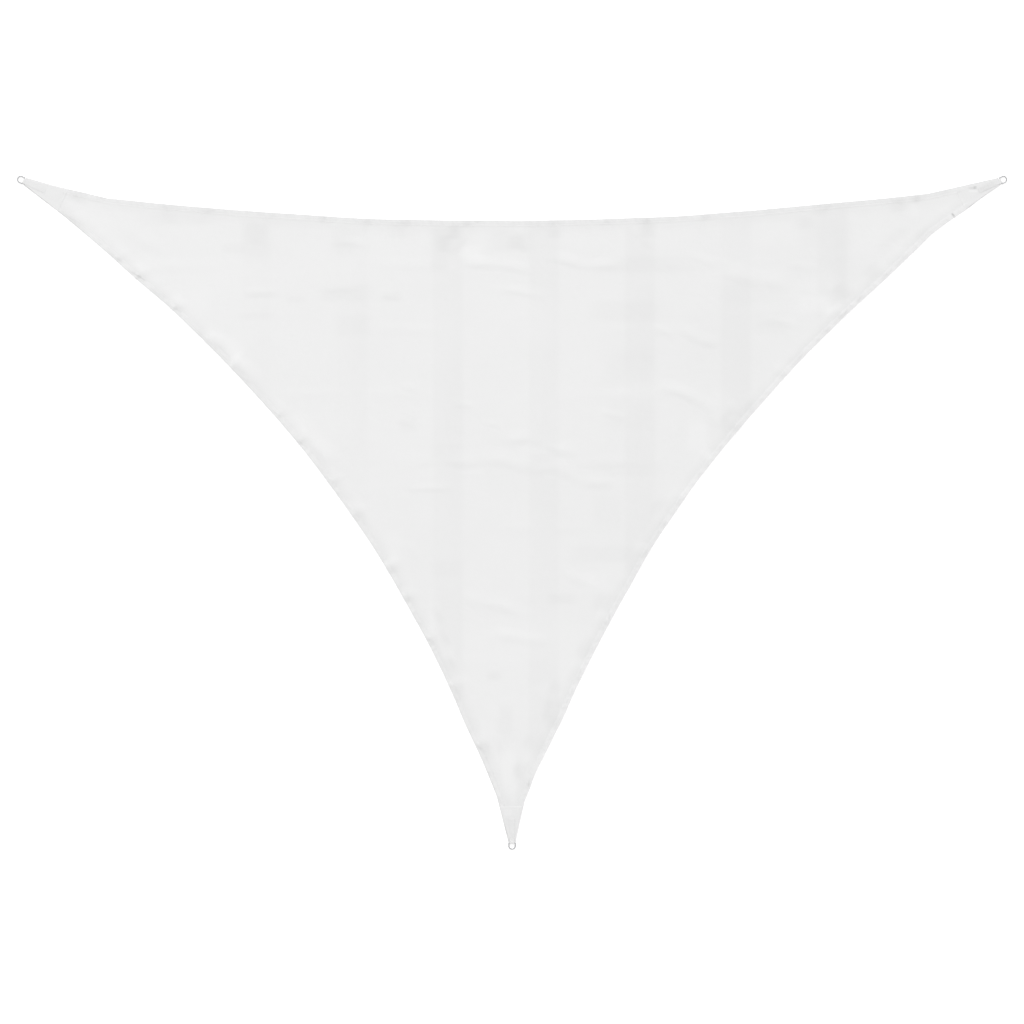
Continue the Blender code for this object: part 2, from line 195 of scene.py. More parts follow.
WEBBING_WIDTH = 0.030
TAB_LENGTH = 0.140
PATCH_INSET, PATCH_START, PATCH_WIDTH = 0.007, 0.012, 0.10
PATCH_RIMS, RIM_PRESS = (0.020, 0.024), 0.3
PATCH_EASE_SIDE, PATCH_EASE_END = 0.012, 0.045

RING_WIRE, RING_WIDTH, RING_LENGTH, RING_BEND = 0.007, 0.046, 0.045, 0.004
BAR_OUT = 0.007
BAR_HEIGHT = WEBBING + GAP + 0.5 * RING_WIRE

# The cloth lies over each tab's lower leaf, and comes down to the floor between these distances from the tip.
CORNER_LIFT = WEBBING + GAP
LIFT_FLAT, LIFT_END = 0.150, 0.270
CALM_START, CALM_END, CALM_LEFT = 0.300, 0.480, 0.08

# ---- relief of the cloth
# Creases left by the sail's packing: soft ridges along a grid, each with a finer line pressed in beside it.
PACK_X = (-1.549, -0.968, -0.387, 0.193, 0.774, 1.355, 1.936)
PACK_Y = (1.500, 1.105, 0.712, 0.310, -0.080, -0.500, -0.900)
PACK_HEIGHT, PACK_HALF_WIDTH, PACK_SPREAD = 0.0034, 0.055, 0.105
# Painted shade along the upright packing creases, and the half width of its bands.
PACK_SHADE, PACK_SHADE_BAND = 0.024, 0.090

# The main folds and swellings, seen from above: from one end to the other, bowed to the left of that way by
# bow at the middle, half_width either side of the crest.
FOLD_COLUMNS = "x1 y1 x2 y2 bow half_width height"
FOLDS = table(
    "name " + FOLD_COLUMNS,
    (
        ("long crease, west", -0.62, 0.3, 0.12, 0.284, 0.022, 0.055, 0.0026),
        ("long crease, east", -0.02, 0.302, 0.71, 0.128, 0.014, 0.054, 0.0032),
        ("short crease above it", -0.12, 0.462, 0.47, 0.338, 0.02, 0.052, 0.0026),
        ("upper middle, west", -0.33, 1.52, 0.13, 1.462, 0.006, 0.04, 0.0027),
        ("upper middle, east", 0.19, 1.548, 0.7, 1.494, -0.02, 0.04, 0.0029),
        ("upper middle, low", -0.13, 1.35, 0.23, 1.306, 0.004, 0.036, 0.002),
        ("right, low", 0.84, 0.76, 1.24, 0.615, 0.026, 0.044, 0.0042),
        ("right, middle", 0.99, 1.118, 1.26, 1.018, -0.012, 0.044, 0.0036),
        ("right, upper", 1.22, 1.452, 1.68, 1.352, 0.018, 0.06, 0.0036),
        ("lower, west", -0.31, -0.52, 0.11, -0.628, 0.008, 0.044, 0.0037),
        ("lower, east", -0.13, -0.735, 0.23, -0.775, -0.01, 0.04, 0.0035),
        ("gather under the top hem, west", -0.26, 1.725, -0.41, 1.56, 0.012, 0.045, 0.0031),
        ("gather under the top hem, east", 0.03, 1.735, 0.07, 1.57, 0.006, 0.045, 0.0032),
        ("right swelling, low", 1.2, 0.53, 1.36, 0.66, 0.0, 0.11, 0.0058),
        ("right swelling, high", 1.8, 1.23, 1.98, 1.42, 0.0, 0.12, 0.0058),
        ("left edge, high", -1.86, 1.08, -1.52, 0.76, 0.01, 0.06, 0.0055),
        ("left edge, middle", -1.33, 0.56, -1.06, 0.24, 0.01, 0.06, 0.0055),
        ("left edge, low", -0.74, -0.42, -0.6, -0.69, 0.006, 0.05, 0.005),
        ("left edge, foot", -0.46, -0.74, -0.39, -0.96, 0.004, 0.045, 0.0045),
        ("bottom corner, high", 0.17, -1.02, 0.23, -1.28, 0.008, 0.05, 0.0037),
        ("bottom corner, west", -0.14, -1.18, -0.06, -1.46, 0.006, 0.045, 0.0038),
        ("right corner", 2.18, 1.61, 2.4, 1.745, 0.006, 0.06, 0.0025),
        ("left corner", -2.38, 1.74, -2.1, 1.56, 0.006, 0.055, 0.002),
    ),
)

# Short shallow creases between the main folds.
SMALL_FOLDS = table(
    FOLD_COLUMNS,
    (
        (-1.63, 1.318, -1.42, 1.33, 0.004, 0.03, 0.0016),
        (-1.16, 1.345, -0.93, 1.352, 0.004, 0.03, 0.0017),
        (-1.03, 1.64, -0.88, 1.61, 0.004, 0.032, 0.0019), (-0.8, 1.318, -0.67, 1.3, 0.004, 0.028, 0.0016),
        (-0.68, 0.765, -0.55, 0.735, 0.004, 0.028, 0.0016),
        (-0.7, 0.56, -0.58, 0.53, 0.004, 0.028, 0.0015), (-0.66, 0.14, -0.33, 0.146, 0.006, 0.03, 0.0019),
        (-0.64, -0.18, -0.56, -0.29, 0.002, 0.028, 0.0016),
        (-0.36, 0.66, -0.22, 0.64, 0.002, 0.026, 0.0016),
        (-0.18, 0.545, -0.06, 0.52, 0.002, 0.026, 0.0014), (0.3, -0.37, 0.55, -0.47, 0.006, 0.036, 0.0021),
        (-0.16, -0.985, -0.06, -0.975, 0.002, 0.028, 0.0017), (0.7, 1.73, 0.84, 1.6, 0.004, 0.036, 0.0022),
        (1.06, 1.56, 1.24, 1.5, 0.004, 0.034, 0.002), (1.5, 1.17, 1.74, 1.12, 0.006, 0.034, 0.0021),
        (0.86, 1.12, 1.0, 1.06, 0.002, 0.03, 0.0017), (0.52, 0.61, 0.7, 0.56, 0.004, 0.032, 0.0019),
        (1.66, 1.5, 1.84, 1.47, 0.004, 0.034, 0.0021),
    ),
)
# A long fold wanders by a share of its half width and rises by a share of its height, over these lengths.
LONG_FOLD = 0.7
WANDER, WANDER_LENGTH = 0.24, 0.36
RISE, RISE_LENGTH = 0.50, 0.27
# Half widths of a fold's long and steep slopes, as shares of its own, and the share of its finer ridge.
FOLD_SLOPE, FOLD_STEEP, FOLD_RIDGE = 1.60, 0.95, 0.10

# Slow swells of the whole cloth.
SWELLS = table(
    "degrees length height phase",
    (
        (18.0, 0.74, 0.0011, 0.3), (97.0, 0.52, 0.0009, 1.9),
        (141.0, 0.39, 0.0006, 4.0), (62.0, 0.27, 0.0004, 2.6),
    ),
)

# Gathers that the hem's seam draws into the cloth. Each stands at a distance along its side from the side's
# start, reaches in from the edge, narrows and dies away there, and leans along the side as it goes in.
GATHERS = by_side(
    "along reach half_width height lean",
    left=(
        (0.38, 0.1, 0.055, 0.003, 0.1), (0.72, 0.12, 0.03, 0.0034, 0.15), (0.88, 0.13, 0.026, 0.0036, 0.3),
        (1.17, 0.11, 0.026, 0.0032, 0.4), (1.47, 0.12, 0.05, 0.0026, -0.2),
        (1.68, 0.17, 0.034, 0.0034, -0.15), (2.07, 0.12, 0.034, 0.0026, 0.25),
        (2.28, 0.11, 0.03, 0.0028, 0.1), (2.59, 0.14, 0.032, 0.0028, 0.2),
        (2.83, 0.15, 0.05, 0.0032, 0.05), (3.22, 0.15, 0.05, 0.003, -0.1),
        (3.42, 0.12, 0.034, 0.0026, 0.15), (3.7, 0.13, 0.03, 0.003, 0.25),
        (4.03, 0.15, 0.05, 0.0034, 0.05), (4.42, 0.16, 0.034, 0.0036, 0.2),
        (4.74, 0.12, 0.03, 0.003, 0.15),
    ),
    right=(
        (0.22, 0.1, 0.034, 0.003, 0.1), (0.36, 0.12, 0.03, 0.0032, 0.15), (0.78, 0.17, 0.08, 0.0036, 0.1),
        (1.12, 0.15, 0.05, 0.0028, 0.25), (1.44, 0.13, 0.03, 0.0034, 0.3),
        (1.93, 0.12, 0.06, 0.0026, -0.15), (2.3, 0.11, 0.034, 0.0024, 0.2),
        (2.6, 0.14, 0.045, 0.0026, 0.05), (2.86, 0.17, 0.05, 0.003, 0.1), (3.3, 0.12, 0.06, 0.0026, -0.2),
        (3.79, 0.19, 0.03, 0.004, 0.15), (4.15, 0.12, 0.034, 0.0026, 0.1), (4.3, 0.14, 0.04, 0.0028, 0.25),
        (4.66, 0.12, 0.026, 0.004, -0.1),
    ),
    top=(
        (0.22, 0.11, 0.034, 0.0028, -0.2), (0.51, 0.14, 0.03, 0.0034, 0.15),
        (0.61, 0.19, 0.03, 0.003, 0.05), (1.06, 0.15, 0.045, 0.0026, 0.1),
        (1.4, 0.12, 0.034, 0.0022, -0.25), (1.8, 0.13, 0.05, 0.0024, 0.1),
        (2.16, 0.19, 0.045, 0.003, 0.05), (2.4, 0.11, 0.034, 0.0028, 0.3), (2.72, 0.16, 0.04, 0.003, 0.1),
        (3.24, 0.2, 0.04, 0.004, 0.2), (3.6, 0.18, 0.045, 0.0032, 0.05),
        (3.84, 0.11, 0.034, 0.0028, -0.15), (4.1, 0.11, 0.034, 0.003, 0.2),
        (4.42, 0.16, 0.034, 0.0026, 0.05), (4.81, 0.12, 0.045, 0.0034, 0.1),
        (5.05, 0.12, 0.04, 0.0028, -0.1), (5.58, 0.15, 0.034, 0.0034, 0.25),
    ),
)
GATHER_TAPER = 0.45
ROLL_HEIGHT, ROLL_SHARE, ROLL_REACH = 0.0050, 0.75, 0.075
SIDE_REACH = 0.25

# Creases pressed into the hem band: each slants in by slant for each metre along the side, and reaches this
# far either way from its middle.
MARK_COLUMNS = "along inside reach slant depth"
HEM_MARKS = by_side(
    MARK_COLUMNS,
    left=(
        (0.04, 0.002, 0.06, 0.0, 0.0014), (0.14, 0.004, 0.018, 0.1, 0.0016),
        (0.18, 0.004, 0.018, 0.1, 0.0016), (0.22, 0.006, 0.02, 0.15, 0.0014),
        (0.345, 0.013, 0.06, 0.19, 0.0009), (0.73, 0.012, 0.065, 0.22, 0.0011),
        (0.89, 0.02, 0.1, 0.2, 0.0016), (1.18, 0.014, 0.065, 0.22, 0.0012),
        (1.45, 0.012, 0.06, 0.19, 0.0006), (1.6, 0.012, 0.05, 0.15, 0.0005),
        (1.79, 0.012, 0.06, 0.19, 0.0008), (2.06, 0.013, 0.06, 0.19, 0.0009),
        (2.15, 0.01, 0.045, 0.15, 0.0006), (2.3, 0.013, 0.065, 0.21, 0.0012),
        (2.5, 0.012, 0.05, 0.15, 0.0006), (2.58, 0.014, 0.05, 0.19, 0.0008),
        (2.68, 0.011, 0.05, 0.17, 0.0006), (2.78, 0.013, 0.06, 0.21, 0.0009),
        (2.89, 0.012, 0.05, 0.19, 0.0005), (3.14, 0.012, 0.05, 0.19, 0.0005),
        (3.24, 0.013, 0.05, 0.19, 0.0006), (3.44, 0.012, 0.06, 0.17, 0.0006),
        (3.61, 0.012, 0.05, 0.19, 0.0006), (3.72, 0.014, 0.065, 0.22, 0.0011),
        (3.93, 0.012, 0.05, 0.17, 0.0005), (4.03, 0.013, 0.05, 0.19, 0.0006),
        (4.11, 0.012, 0.045, 0.17, 0.0006), (4.43, 0.014, 0.065, 0.22, 0.0012),
        (4.61, 0.012, 0.05, 0.17, 0.0005), (4.78, 0.013, 0.06, 0.21, 0.0009),
        (4.97, 0.003, 0.07, 0.0, 0.0016),
    ),
    right=(
        (0.19, 0.012, 0.035, 0.2, 0.0008), (0.354, 0.014, 0.04, 0.28, 0.0012),
        (0.97, 0.012, 0.035, 0.22, 0.0006), (1.465, 0.014, 0.04, 0.3, 0.0012),
        (1.56, 0.012, 0.035, 0.22, 0.0006), (1.93, 0.013, 0.035, 0.25, 0.0008),
        (2.05, 0.012, 0.035, 0.22, 0.0008), (2.13, 0.013, 0.03, 0.25, 0.0008),
        (2.49, 0.012, 0.035, 0.22, 0.0006), (2.7, 0.013, 0.035, 0.25, 0.0008),
        (2.78, 0.012, 0.035, 0.22, 0.0008), (2.94, 0.012, 0.03, 0.22, 0.0006),
        (3.08, 0.012, 0.035, 0.22, 0.0006), (3.43, 0.013, 0.04, 0.25, 0.0008),
        (3.58, 0.012, 0.03, 0.22, 0.0006), (3.66, 0.012, 0.035, 0.25, 0.0008),
        (3.81, 0.014, 0.04, 0.28, 0.001), (3.92, 0.013, 0.035, 0.25, 0.001),
        (4.18, 0.012, 0.035, 0.22, 0.0006), (4.25, 0.012, 0.03, 0.22, 0.0006),
        (4.4, 0.012, 0.035, 0.22, 0.0006), (4.81, 0.004, 0.03, 0.1, 0.0014),
        (4.9, 0.008, 0.022, 0.1, 0.0016),
    ),
    top=(
        (0.51, 0.012, 0.035, -0.25, 0.0006), (1.1, 0.012, 0.035, 0.25, 0.0005),
        (3.17, 0.013, 0.035, 0.3, 0.0008), (4.1, 0.012, 0.035, 0.22, 0.0006),
        (4.83, 0.012, 0.035, 0.22, 0.0006), (5.45, 0.012, 0.03, 0.22, 0.0005),
        (5.58, 0.012, 0.035, 0.22, 0.0005),
    ),
)
# Half width of a mark, and the painted shade in it for each metre of its depth.
MARK_HALF_WIDTH, MARK_PAINTED_SHADE = 0.0085, 60.0
# One short slit stands square to the right side across its hem.
SLITS = by_side(MARK_COLUMNS, right=((4.69, 0.018, 0.0095, 0.0, 0.0024),))
# Half width of the slit, and the painted shade in it for each metre of its depth.
SLIT_HALF_WIDTH, SLIT_PAINTED_SHADE = 0.027, 140.0

# ---- tones
# Painted shade on the cloth beside the hem, and painted light where tone is above 0: from near to far inside
# the side, and this far along it either way.
PAINTED_SIDE_SHADES = by_side(
    "along near far reach tone",
    left=(
        (0.3, -0.01, 0.03, 0.22, -0.03), (0.67, -0.01, 0.02, 0.07, -0.02),
        (1.05, -0.01, 0.03, 0.08, -0.045), (1.42, -0.01, 0.03, 0.12, -0.034),
        (0.38, 0.005, 0.04, 0.09, -0.03), (0.88, 0.015, 0.05, 0.09, -0.034),
        (1.08, 0.02, 0.05, 0.06, -0.024), (1.19, 0.015, 0.045, 0.07, -0.03),
        (3.35, -0.01, 0.03, 0.07, -0.03), (4.75, -0.01, 0.03, 0.2, 0.028),
        (2.86, 0.025, 0.065, 0.09, -0.026), (3.26, 0.03, 0.05, 0.08, -0.026),
        (3.45, 0.02, 0.045, 0.08, -0.026), (3.62, 0.11, 0.15, 0.1, -0.028),
        (3.76, 0.085, 0.125, 0.1, -0.034), (3.9, 0.06, 0.09, 0.09, -0.034),
        (3.82, 0.045, 0.07, 0.08, 0.02), (4.47, 0.02, 0.075, 0.09, -0.036),
        (4.68, 0.15, 0.19, 0.1, -0.034),
    ),
    right=(
        (0.08, -0.01, 0.034, 0.16, 0.05), (0.6, -0.01, 0.034, 0.4, 0.028),
        (1.16, -0.01, 0.034, 0.12, 0.02), (2.45, -0.01, 0.034, 0.2, 0.014),
        (3.65, -0.01, 0.034, 0.06, -0.026), (3.95, -0.01, 0.034, 0.06, -0.026),
        (0.235, 0.002, 0.028, 0.05, -0.045), (0.352, 0.004, 0.026, 0.028, -0.045),
        (0.42, 0.06, 0.13, 0.08, -0.034), (0.58, 0.02, 0.15, 0.09, -0.028),
        (0.81, 0.035, 0.13, 0.11, -0.01), (0.95, 0.08, 0.15, 0.08, -0.028),
        (1.23, 0.015, 0.1, 0.1, -0.032), (1.52, 0.06, 0.15, 0.09, -0.01), (1.83, 0.02, 0.11, 0.1, -0.014),
        (2.1, 0.005, 0.04, 0.09, -0.036), (2.2, 0.08, 0.14, 0.09, -0.028), (2.35, 0.01, 0.04, 0.08, 0.028),
        (2.61, 0.01, 0.06, 0.08, 0.02), (2.88, 0.04, 0.13, 0.1, -0.024), (3.01, 0.01, 0.07, 0.07, -0.028),
        (3.18, 0.01, 0.06, 0.08, 0.018), (3.41, 0.01, 0.04, 0.08, -0.036), (3.76, 0.07, 0.19, 0.08, 0.028),
        (3.89, 0.07, 0.17, 0.07, -0.036), (4.1, 0.05, 0.13, 0.09, -0.028),
        (4.48, 0.02, 0.07, 0.08, -0.028), (4.9, 0.02, 0.06, 0.08, -0.04), (4.716, 0.02, 0.04, 0.014, 0.03),
    ),
    top=(
        (0.335, 0.0, 0.03, 0.035, -0.03), (0.51, 0.014, 0.042, 0.05, -0.06),
        (0.53, 0.05, 0.13, 0.06, 0.02), (0.62, 0.02, 0.09, 0.08, -0.036), (1.1, 0.01, 0.06, 0.08, -0.028),
        (1.19, 0.07, 0.14, 0.09, -0.028), (2.14, 0.01, 0.12, 0.08, -0.032),
        (2.7, 0.05, 0.11, 0.08, -0.026), (2.81, 0.01, 0.04, 0.08, -0.026),
        (2.93, 0.09, 0.17, 0.08, -0.036), (3.3, 0.02, 0.11, 0.07, -0.046),
        (3.36, 0.09, 0.19, 0.08, -0.044), (3.64, 0.015, 0.11, 0.09, -0.028),
        (3.98, 0.15, 0.18, 0.09, -0.028), (4.5, 0.07, 0.2, 0.1, -0.024), (5.03, 0.05, 0.11, 0.09, -0.02),
        (5.48, 0.012, 0.04, 0.045, -0.03), (5.58, 0.02, 0.06, 0.09, -0.044),
        (5.61, 0.012, 0.04, 0.04, -0.04),
    ),
)
SIDE_SHADE_FADE = 0.028

# Soft places of painted shade and light in the cloth away from its sides: the middle and half sizes of each,
# painted shade where tone is below 0 and painted light above it.
PAINTED_PLACES = table(
    "x y half_x half_y tone",
    (
        (0.82, 1.5, 0.23, 0.05, -0.022), (0.68, 1.22, 0.19, 0.06, -0.02), (0.71, 0.88, 0.14, 0.1, -0.018),
        (0.72, 0.59, 0.14, 0.09, -0.018), (0.67, 0.26, 0.2, 0.04, -0.014), (0.58, 0.0, 0.09, 0.1, -0.016),
        (0.56, -0.25, 0.19, 0.05, -0.022), (1.44, 1.32, 0.18, 0.06, -0.016),
        (1.25, 1.02, 0.19, 0.22, -0.008), (1.56, 1.15, 0.1, 0.07, -0.02), (1.9, 1.68, 0.15, 0.09, -0.014),
        (1.85, 1.48, 0.2, 0.08, -0.012), (2.14, 1.68, 0.09, 0.12, 0.012), (1.84, 1.26, 0.1, 0.05, 0.03),
        (1.6, 1.69, 0.14, 0.07, 0.01), (1.12, 0.47, 0.06, 0.09, 0.026), (-2.02, 1.78, 0.2, 0.04, -0.02),
        (-1.68, 1.6, 0.07, 0.03, -0.02), (-1.55, 1.66, 0.08, 0.12, -0.022),
        (-1.02, 1.65, 0.07, 0.08, -0.02), (-1.01, 1.33, 0.14, 0.05, -0.022),
        (-0.96, 1.13, 0.1, 0.06, -0.02), (-0.73, 1.31, 0.06, 0.03, -0.022),
        (-1.55, 1.19, 0.1, 0.02, -0.018), (-1.52, 1.32, 0.09, 0.02, -0.022),
        (-1.31, 1.29, 0.05, 0.02, -0.02), (-0.4, 1.67, 0.09, 0.06, -0.032),
        (-0.44, 1.54, 0.05, 0.08, -0.022), (-0.01, 1.64, 0.12, 0.06, -0.028),
        (-0.25, 1.58, 0.06, 0.04, 0.026), (-0.63, 0.54, 0.05, 0.05, -0.02),
        (-0.4, 0.37, 0.09, 0.04, -0.014), (0.19, 0.385, 0.13, 0.035, 0.018),
        (-0.24, 0.255, 0.07, 0.02, 0.016), (-0.52, 0.24, 0.06, 0.03, 0.01),
        (0.25, 0.232, 0.05, 0.022, 0.022), (-2.52, 1.72, 0.09, 0.07, 0.006),
        (-2.25, 1.52, 0.1, 0.06, 0.008), (-1.93, 1.27, 0.1, 0.08, 0.009), (-1.68, 0.98, 0.05, 0.07, 0.01),
        (-1.28, 0.53, 0.09, 0.09, 0.006), (-1.11, 0.29, 0.03, 0.03, 0.014),
        (-0.72, -0.2, 0.05, 0.09, 0.014), (-0.39, -0.34, 0.09, 0.05, -0.018),
        (0.51, -0.42, 0.08, 0.06, 0.014), (0.55, -0.54, 0.06, 0.05, -0.02),
        (0.3, -0.52, 0.08, 0.03, -0.026), (-0.47, -0.59, 0.03, 0.11, 0.018),
        (-0.38, -0.84, 0.03, 0.05, 0.022), (0.16, -0.96, 0.07, 0.09, -0.008),
        (-0.11, -0.98, 0.04, 0.03, -0.024), (0.0, -0.95, 0.4, 0.34, 0.016),
        (0.245, -1.19, 0.05, 0.06, -0.032), (-0.04, -1.26, 0.04, 0.09, -0.022),
        (-0.15, -1.3, 0.04, 0.05, 0.014), (-0.02, -1.55, 0.04, 0.12, 0.022),
        (0.05, -1.575, 0.03, 0.05, -0.006), (-0.03, -1.75, 0.022, 0.026, -0.034),
        (-0.026, -1.816, 0.022, 0.018, 0.025), (-0.02, -1.872, 0.022, 0.02, -0.022),
        # Painted shadow at the right tab's cut end, and a painted highlight on the crease just below it.
        (2.801, 1.967, 0.009, 0.009, -0.17), (2.782, 1.964, 0.018, 0.007, -0.09),
        (2.79, 1.945, 0.026, 0.006, 0.045),
    ),
)
# Painted shade that darkens the cloth towards the east.
EAST_PAINTED_SHADE = 0.008
# Strength of the painted shade and light in streaks along the hem.
HEM_STREAK_SHADE = 0.011
# The tone of the hem and patches. This share of the cloth's painted shade and light shows at its sides, and
# all of it from this far inside them.
BAND_TONE, BAND_SHARE, SHARE_REACH = 0.972, 0.35, 0.10
# Painted light along the patch's far folded edge.
PATCH_RIM_PAINTED_LIGHT = 0.032
# Where the painted shade and light beside and in the hem end, and over which distance they fade.
CLOTH_SHADE_REACH, CLOTH_SHADE_FADE = 0.095, 0.065
RIM_REACH, STEP_START, SEAM_START, HEM_FADE, STEP_FADE = 0.011, 0.0250, 0.017, 0.008, 0.0025
END_REACH, END_FADE = 0.65, 0.30
# The painted light beside a corner is strongest at this distance from its tip, and reaches this far either
# way.
LIGHT_MIDDLE, LIGHT_REACH = 0.42, 0.32

# ---- mesh sizes
# The sheet's thirds meet at its centre. Each has this many cells along a half side and along a spoke, which
# are stretched towards the corner or the centre.
SHEET_CELLS, SHEET_STRETCH, SPOKE_STRETCH = 124, 0.35, -0.25
CENTRE = np.array([0.0, 0.66])
HEM_STEP = 0.0054
PATCH_CELLS = 56
WIRE_SIDES, THREAD_SIDES = 24, 5

# ---- sewing: each stitch's pitch, length and radius, and where its rows run
HEM_STITCH = (0.0085, 0.0060, 0.00045)
PATCH_STITCH = (0.0065, 0.0046, 0.00042)
TAB_STITCH = (0.0048, 0.0037, 0.00070)
HEM_SEAM_START, PATCH_ROWS = 0.045, (0.005, 0.009)
TAB_BOXES, TAB_BOX_HALF = ((0.022, 0.044), (0.052, 0.132)), 0.0105
THREAD_LIFT = 0.0001

# ---- colours, weave and crumple
CLOTH_WHITE, DOUBLING_WHITE, WEBBING_WHITE, THREAD_WHITE, FLOOR_WHITE = 0.805, 0.80, 0.80, 0.83, 0.97
STEEL_GREY = (0.46, 0.46, 0.47)
WEAVE_PITCH, WEAVE_DEPTH = 0.0015, 0.00025
CLOTH_CRUMPLE, DOUBLING_CRUMPLE = 0.0016, 0.0008
WEFT_PITCH, CHEVRON_PITCH = 0.0022, 0.0019

# ---- floor, light and view
FLOOR_REACH, FLOOR_LEVEL, FLOOR_GLOW = 160.0, -0.0006, 0.25
HORIZON, ZENITH = 1.08, 0.82
LAMP_SIZE, LAMP_POWER = 16.0, 15000.0
LAMP_DISTANCE, LAMP_BEARING, LAMP_RISE = 60.0, 104.0, 36.0
# The picture's width on the floor, and the place that the camera stands above.
FRAME_WIDTH = 6.1952
VIEW_X, VIEW_Y = -0.0003, 0.0042
LENS, SENSOR = 200.0, 36.0


# ---- the sides as lines
def side_points(side, start, end, step):
    """A side as points: straight, hollow by sag * (1 - |2t - 1| ** shape), straight, then moved by its
    bulges, each out * bump(distance / reach)."""
    kink_1 = np.array([side.kink_1_x, side.kink_1_y])
    kink_2 = np.array([side.kink_2_x, side.kink_2_y])
    chord = kink_2 - kink_1
    length = np.linalg.norm(chord)
    t = np.linspace(0.0, 1.0, max(3, round(length / step)) + 1)
    hollow = side.sag * (1.0 - np.abs(2.0 * t - 1.0) ** side.shape)
    middle = kink_1 + np.outer(t, chord) + np.outer(hollow, left_of(chord / length))

    def run(a, b):
        count = max(2, round(np.linalg.norm(b - a) / step))
        return a + np.outer(np.arange(count) / count, b - a)

    path = np.vstack([run(start, kink_1), middle[:-1], run(kink_2, end), [end]])
    along = path_marks(path)
    out = np.sum([row.out * bump((along - row.along) / row.reach) for row in BULGES[side.name]], axis=0)
    return path - out[:, None] * left_of(unit(np.gradient(path, axis=0)))


class Edge:
    """One side of the sail as a smooth line: places and inward directions by distance along it."""

    def __init__(self, index):
        self.side = SIDES[index]
        self.name = self.side.name
        self.start, self.end = CORNERS[index], CORNERS[(index + 1) % len(CORNERS)]
        rough = side_points(self.side, self.start.tip_ends[1], self.end.tip_ends[0], 0.5 * OUTLINE_STEP)
        marks = path_marks(rough)
        self.length = marks[-1]
        self.fine = np.linspace(0.0, self.length, LINE_POINTS)
        self.path = path_at(self.fine, marks, rough)
        kernel = np.hanning(2 * LINE_SMOOTHING + 1)
        kernel = kernel / kernel.sum()
        padded = np.pad(np.gradient(self.path, axis=0), ((LINE_SMOOTHING,) * 2, (0, 0)), mode="edge")
        self.way = unit(np.column_stack([np.convolve(column, kernel, "valid") for column in padded.T]))

    def at(self, along):
        """Places, ways along the side and inward directions at these distances along it."""
        way = unit(path_at(along, self.fine, self.way))
        return path_at(along, self.fine, self.path), way, left_of(way)

    def foot(self, points):
        """For each point, the distance along the side of its foot on it, and how far inside the side it is.
        The foot starts from the chord's share and is moved along the side until it is square to the point."""
        chord = self.path[-1] - self.path[0]
        along = self.length * np.clip((points - self.path[0]) @ chord / (chord @ chord), 0.0, 1.0)
        for _ in range(FOOT_STEPS):
            place, way, _ = self.at(along)
            along = np.clip(along + ((points - place) * way).sum(1), 0.0, self.length)
        place, _, inward = self.at(along)
        return along, ((points - place) * inward).sum(1)


EDGES = [Edge(i) for i in range(len(SIDES))]


def nearest_side(points):
    """How far each point is inside the nearest side."""
    return np.min([edge.foot(points)[1] for edge in EDGES], axis=0)


def to_nearest(values, lines):
    """Each value's distance from the nearest of the lines."""
    return np.min(np.abs(values[:, None] - np.array(lines)), axis=1)


# ---- the cloth's height
def fold_height(fold, points):
    """A fold's height: a hump with a long slope above its bowed crest, a steep one below and a finer ridge
    along it. It is level along its middle, dies away at its ends, and wanders and rises if it is long."""
    start, end = np.array([fold.x1, fold.y1]), np.array([fold.x2, fold.y2])
    length = np.linalg.norm(end - start)
    way = (end - start) / length
    rel = points - 0.5 * (start + end)
    run = rel @ way
    along = run / (0.5 * length)
    long = min(1.0, length / LONG_FOLD)
    across = rel @ left_of(way) - fold.bow * (1.0 - along**2)
    across = across + WANDER * fold.half_width * long * beat(run, WANDER_LENGTH, 7.0 * fold.x1)
    above = across * (1.0 if way[0] >= 0.0 else -1.0)
    width = fold.half_width * np.where(above < 0.0, FOLD_STEEP, FOLD_SLOPE)
    strength = bump(np.clip((np.abs(along) - 0.35) / 0.80, 0.0, 1.0))
    strength = strength * (1.0 + RISE * long * beat(run, RISE_LENGTH, 11.0 * fold.y1))
    hump = (1.0 - FOLD_RIDGE) * bump(above / width) + FOLD_RIDGE * bump(above / (0.45 * width))
    return fold.height * strength * hump


def pack_height(points):
    """The packing creases: broad upright ridges, and lower level ones that come and go along their way; the
    higher of the two where they cross."""
    x, y = points.T
    x = x + 0.014 * np.sin(3.1 * y + 0.5)
    y = y + 0.012 * np.sin(2.7 * x + 1.1) + 0.005 * np.sin(7.3 * x)
    across = to_nearest(x, PACK_X)
    upright = 0.80 * bump(across / PACK_SPREAD) + 0.20 * bump(across / PACK_HALF_WIDTH)
    upright = upright * (0.78 + 0.22 * np.sin(2.3 * y + 1.7 * x))
    share = np.clip(0.10 + 0.20 * np.sin(3.9 * x - 2.3 * y + 0.6) + 0.10 * np.sin(9.1 * x + y), 0.0, 1.0)
    return PACK_HEIGHT * np.maximum(upright, bump(to_nearest(y, PACK_Y) / PACK_HALF_WIDTH) * share)


def swell_height(points):
    """Sum of slow waves, each lifted so that it only rises from the surface."""
    height = np.zeros(len(points))
    for swell in SWELLS:
        turn = 2.0 * math.pi * (points @ bearing(swell.degrees)) / swell.length + swell.phase
        height += 0.5 * swell.height * (1.0 + np.sin(turn + 0.8 * np.sin(0.31 * turn)))
    return height


def gather_height(edge, along, inside):
    """Humps square to the side: each narrows and dies away over its reach, and leans as it goes in."""
    height = np.zeros(len(along))
    for gather in GATHERS[edge.name]:
        depth = np.clip(inside / gather.reach, 0.0, 1.0)
        across = along - gather.along - gather.lean * inside
        width = gather.half_width * (1.0 - GATHER_TAPER * depth)
        height += gather.height * bump(across / width) * smooth(1.0 - depth)
    return height


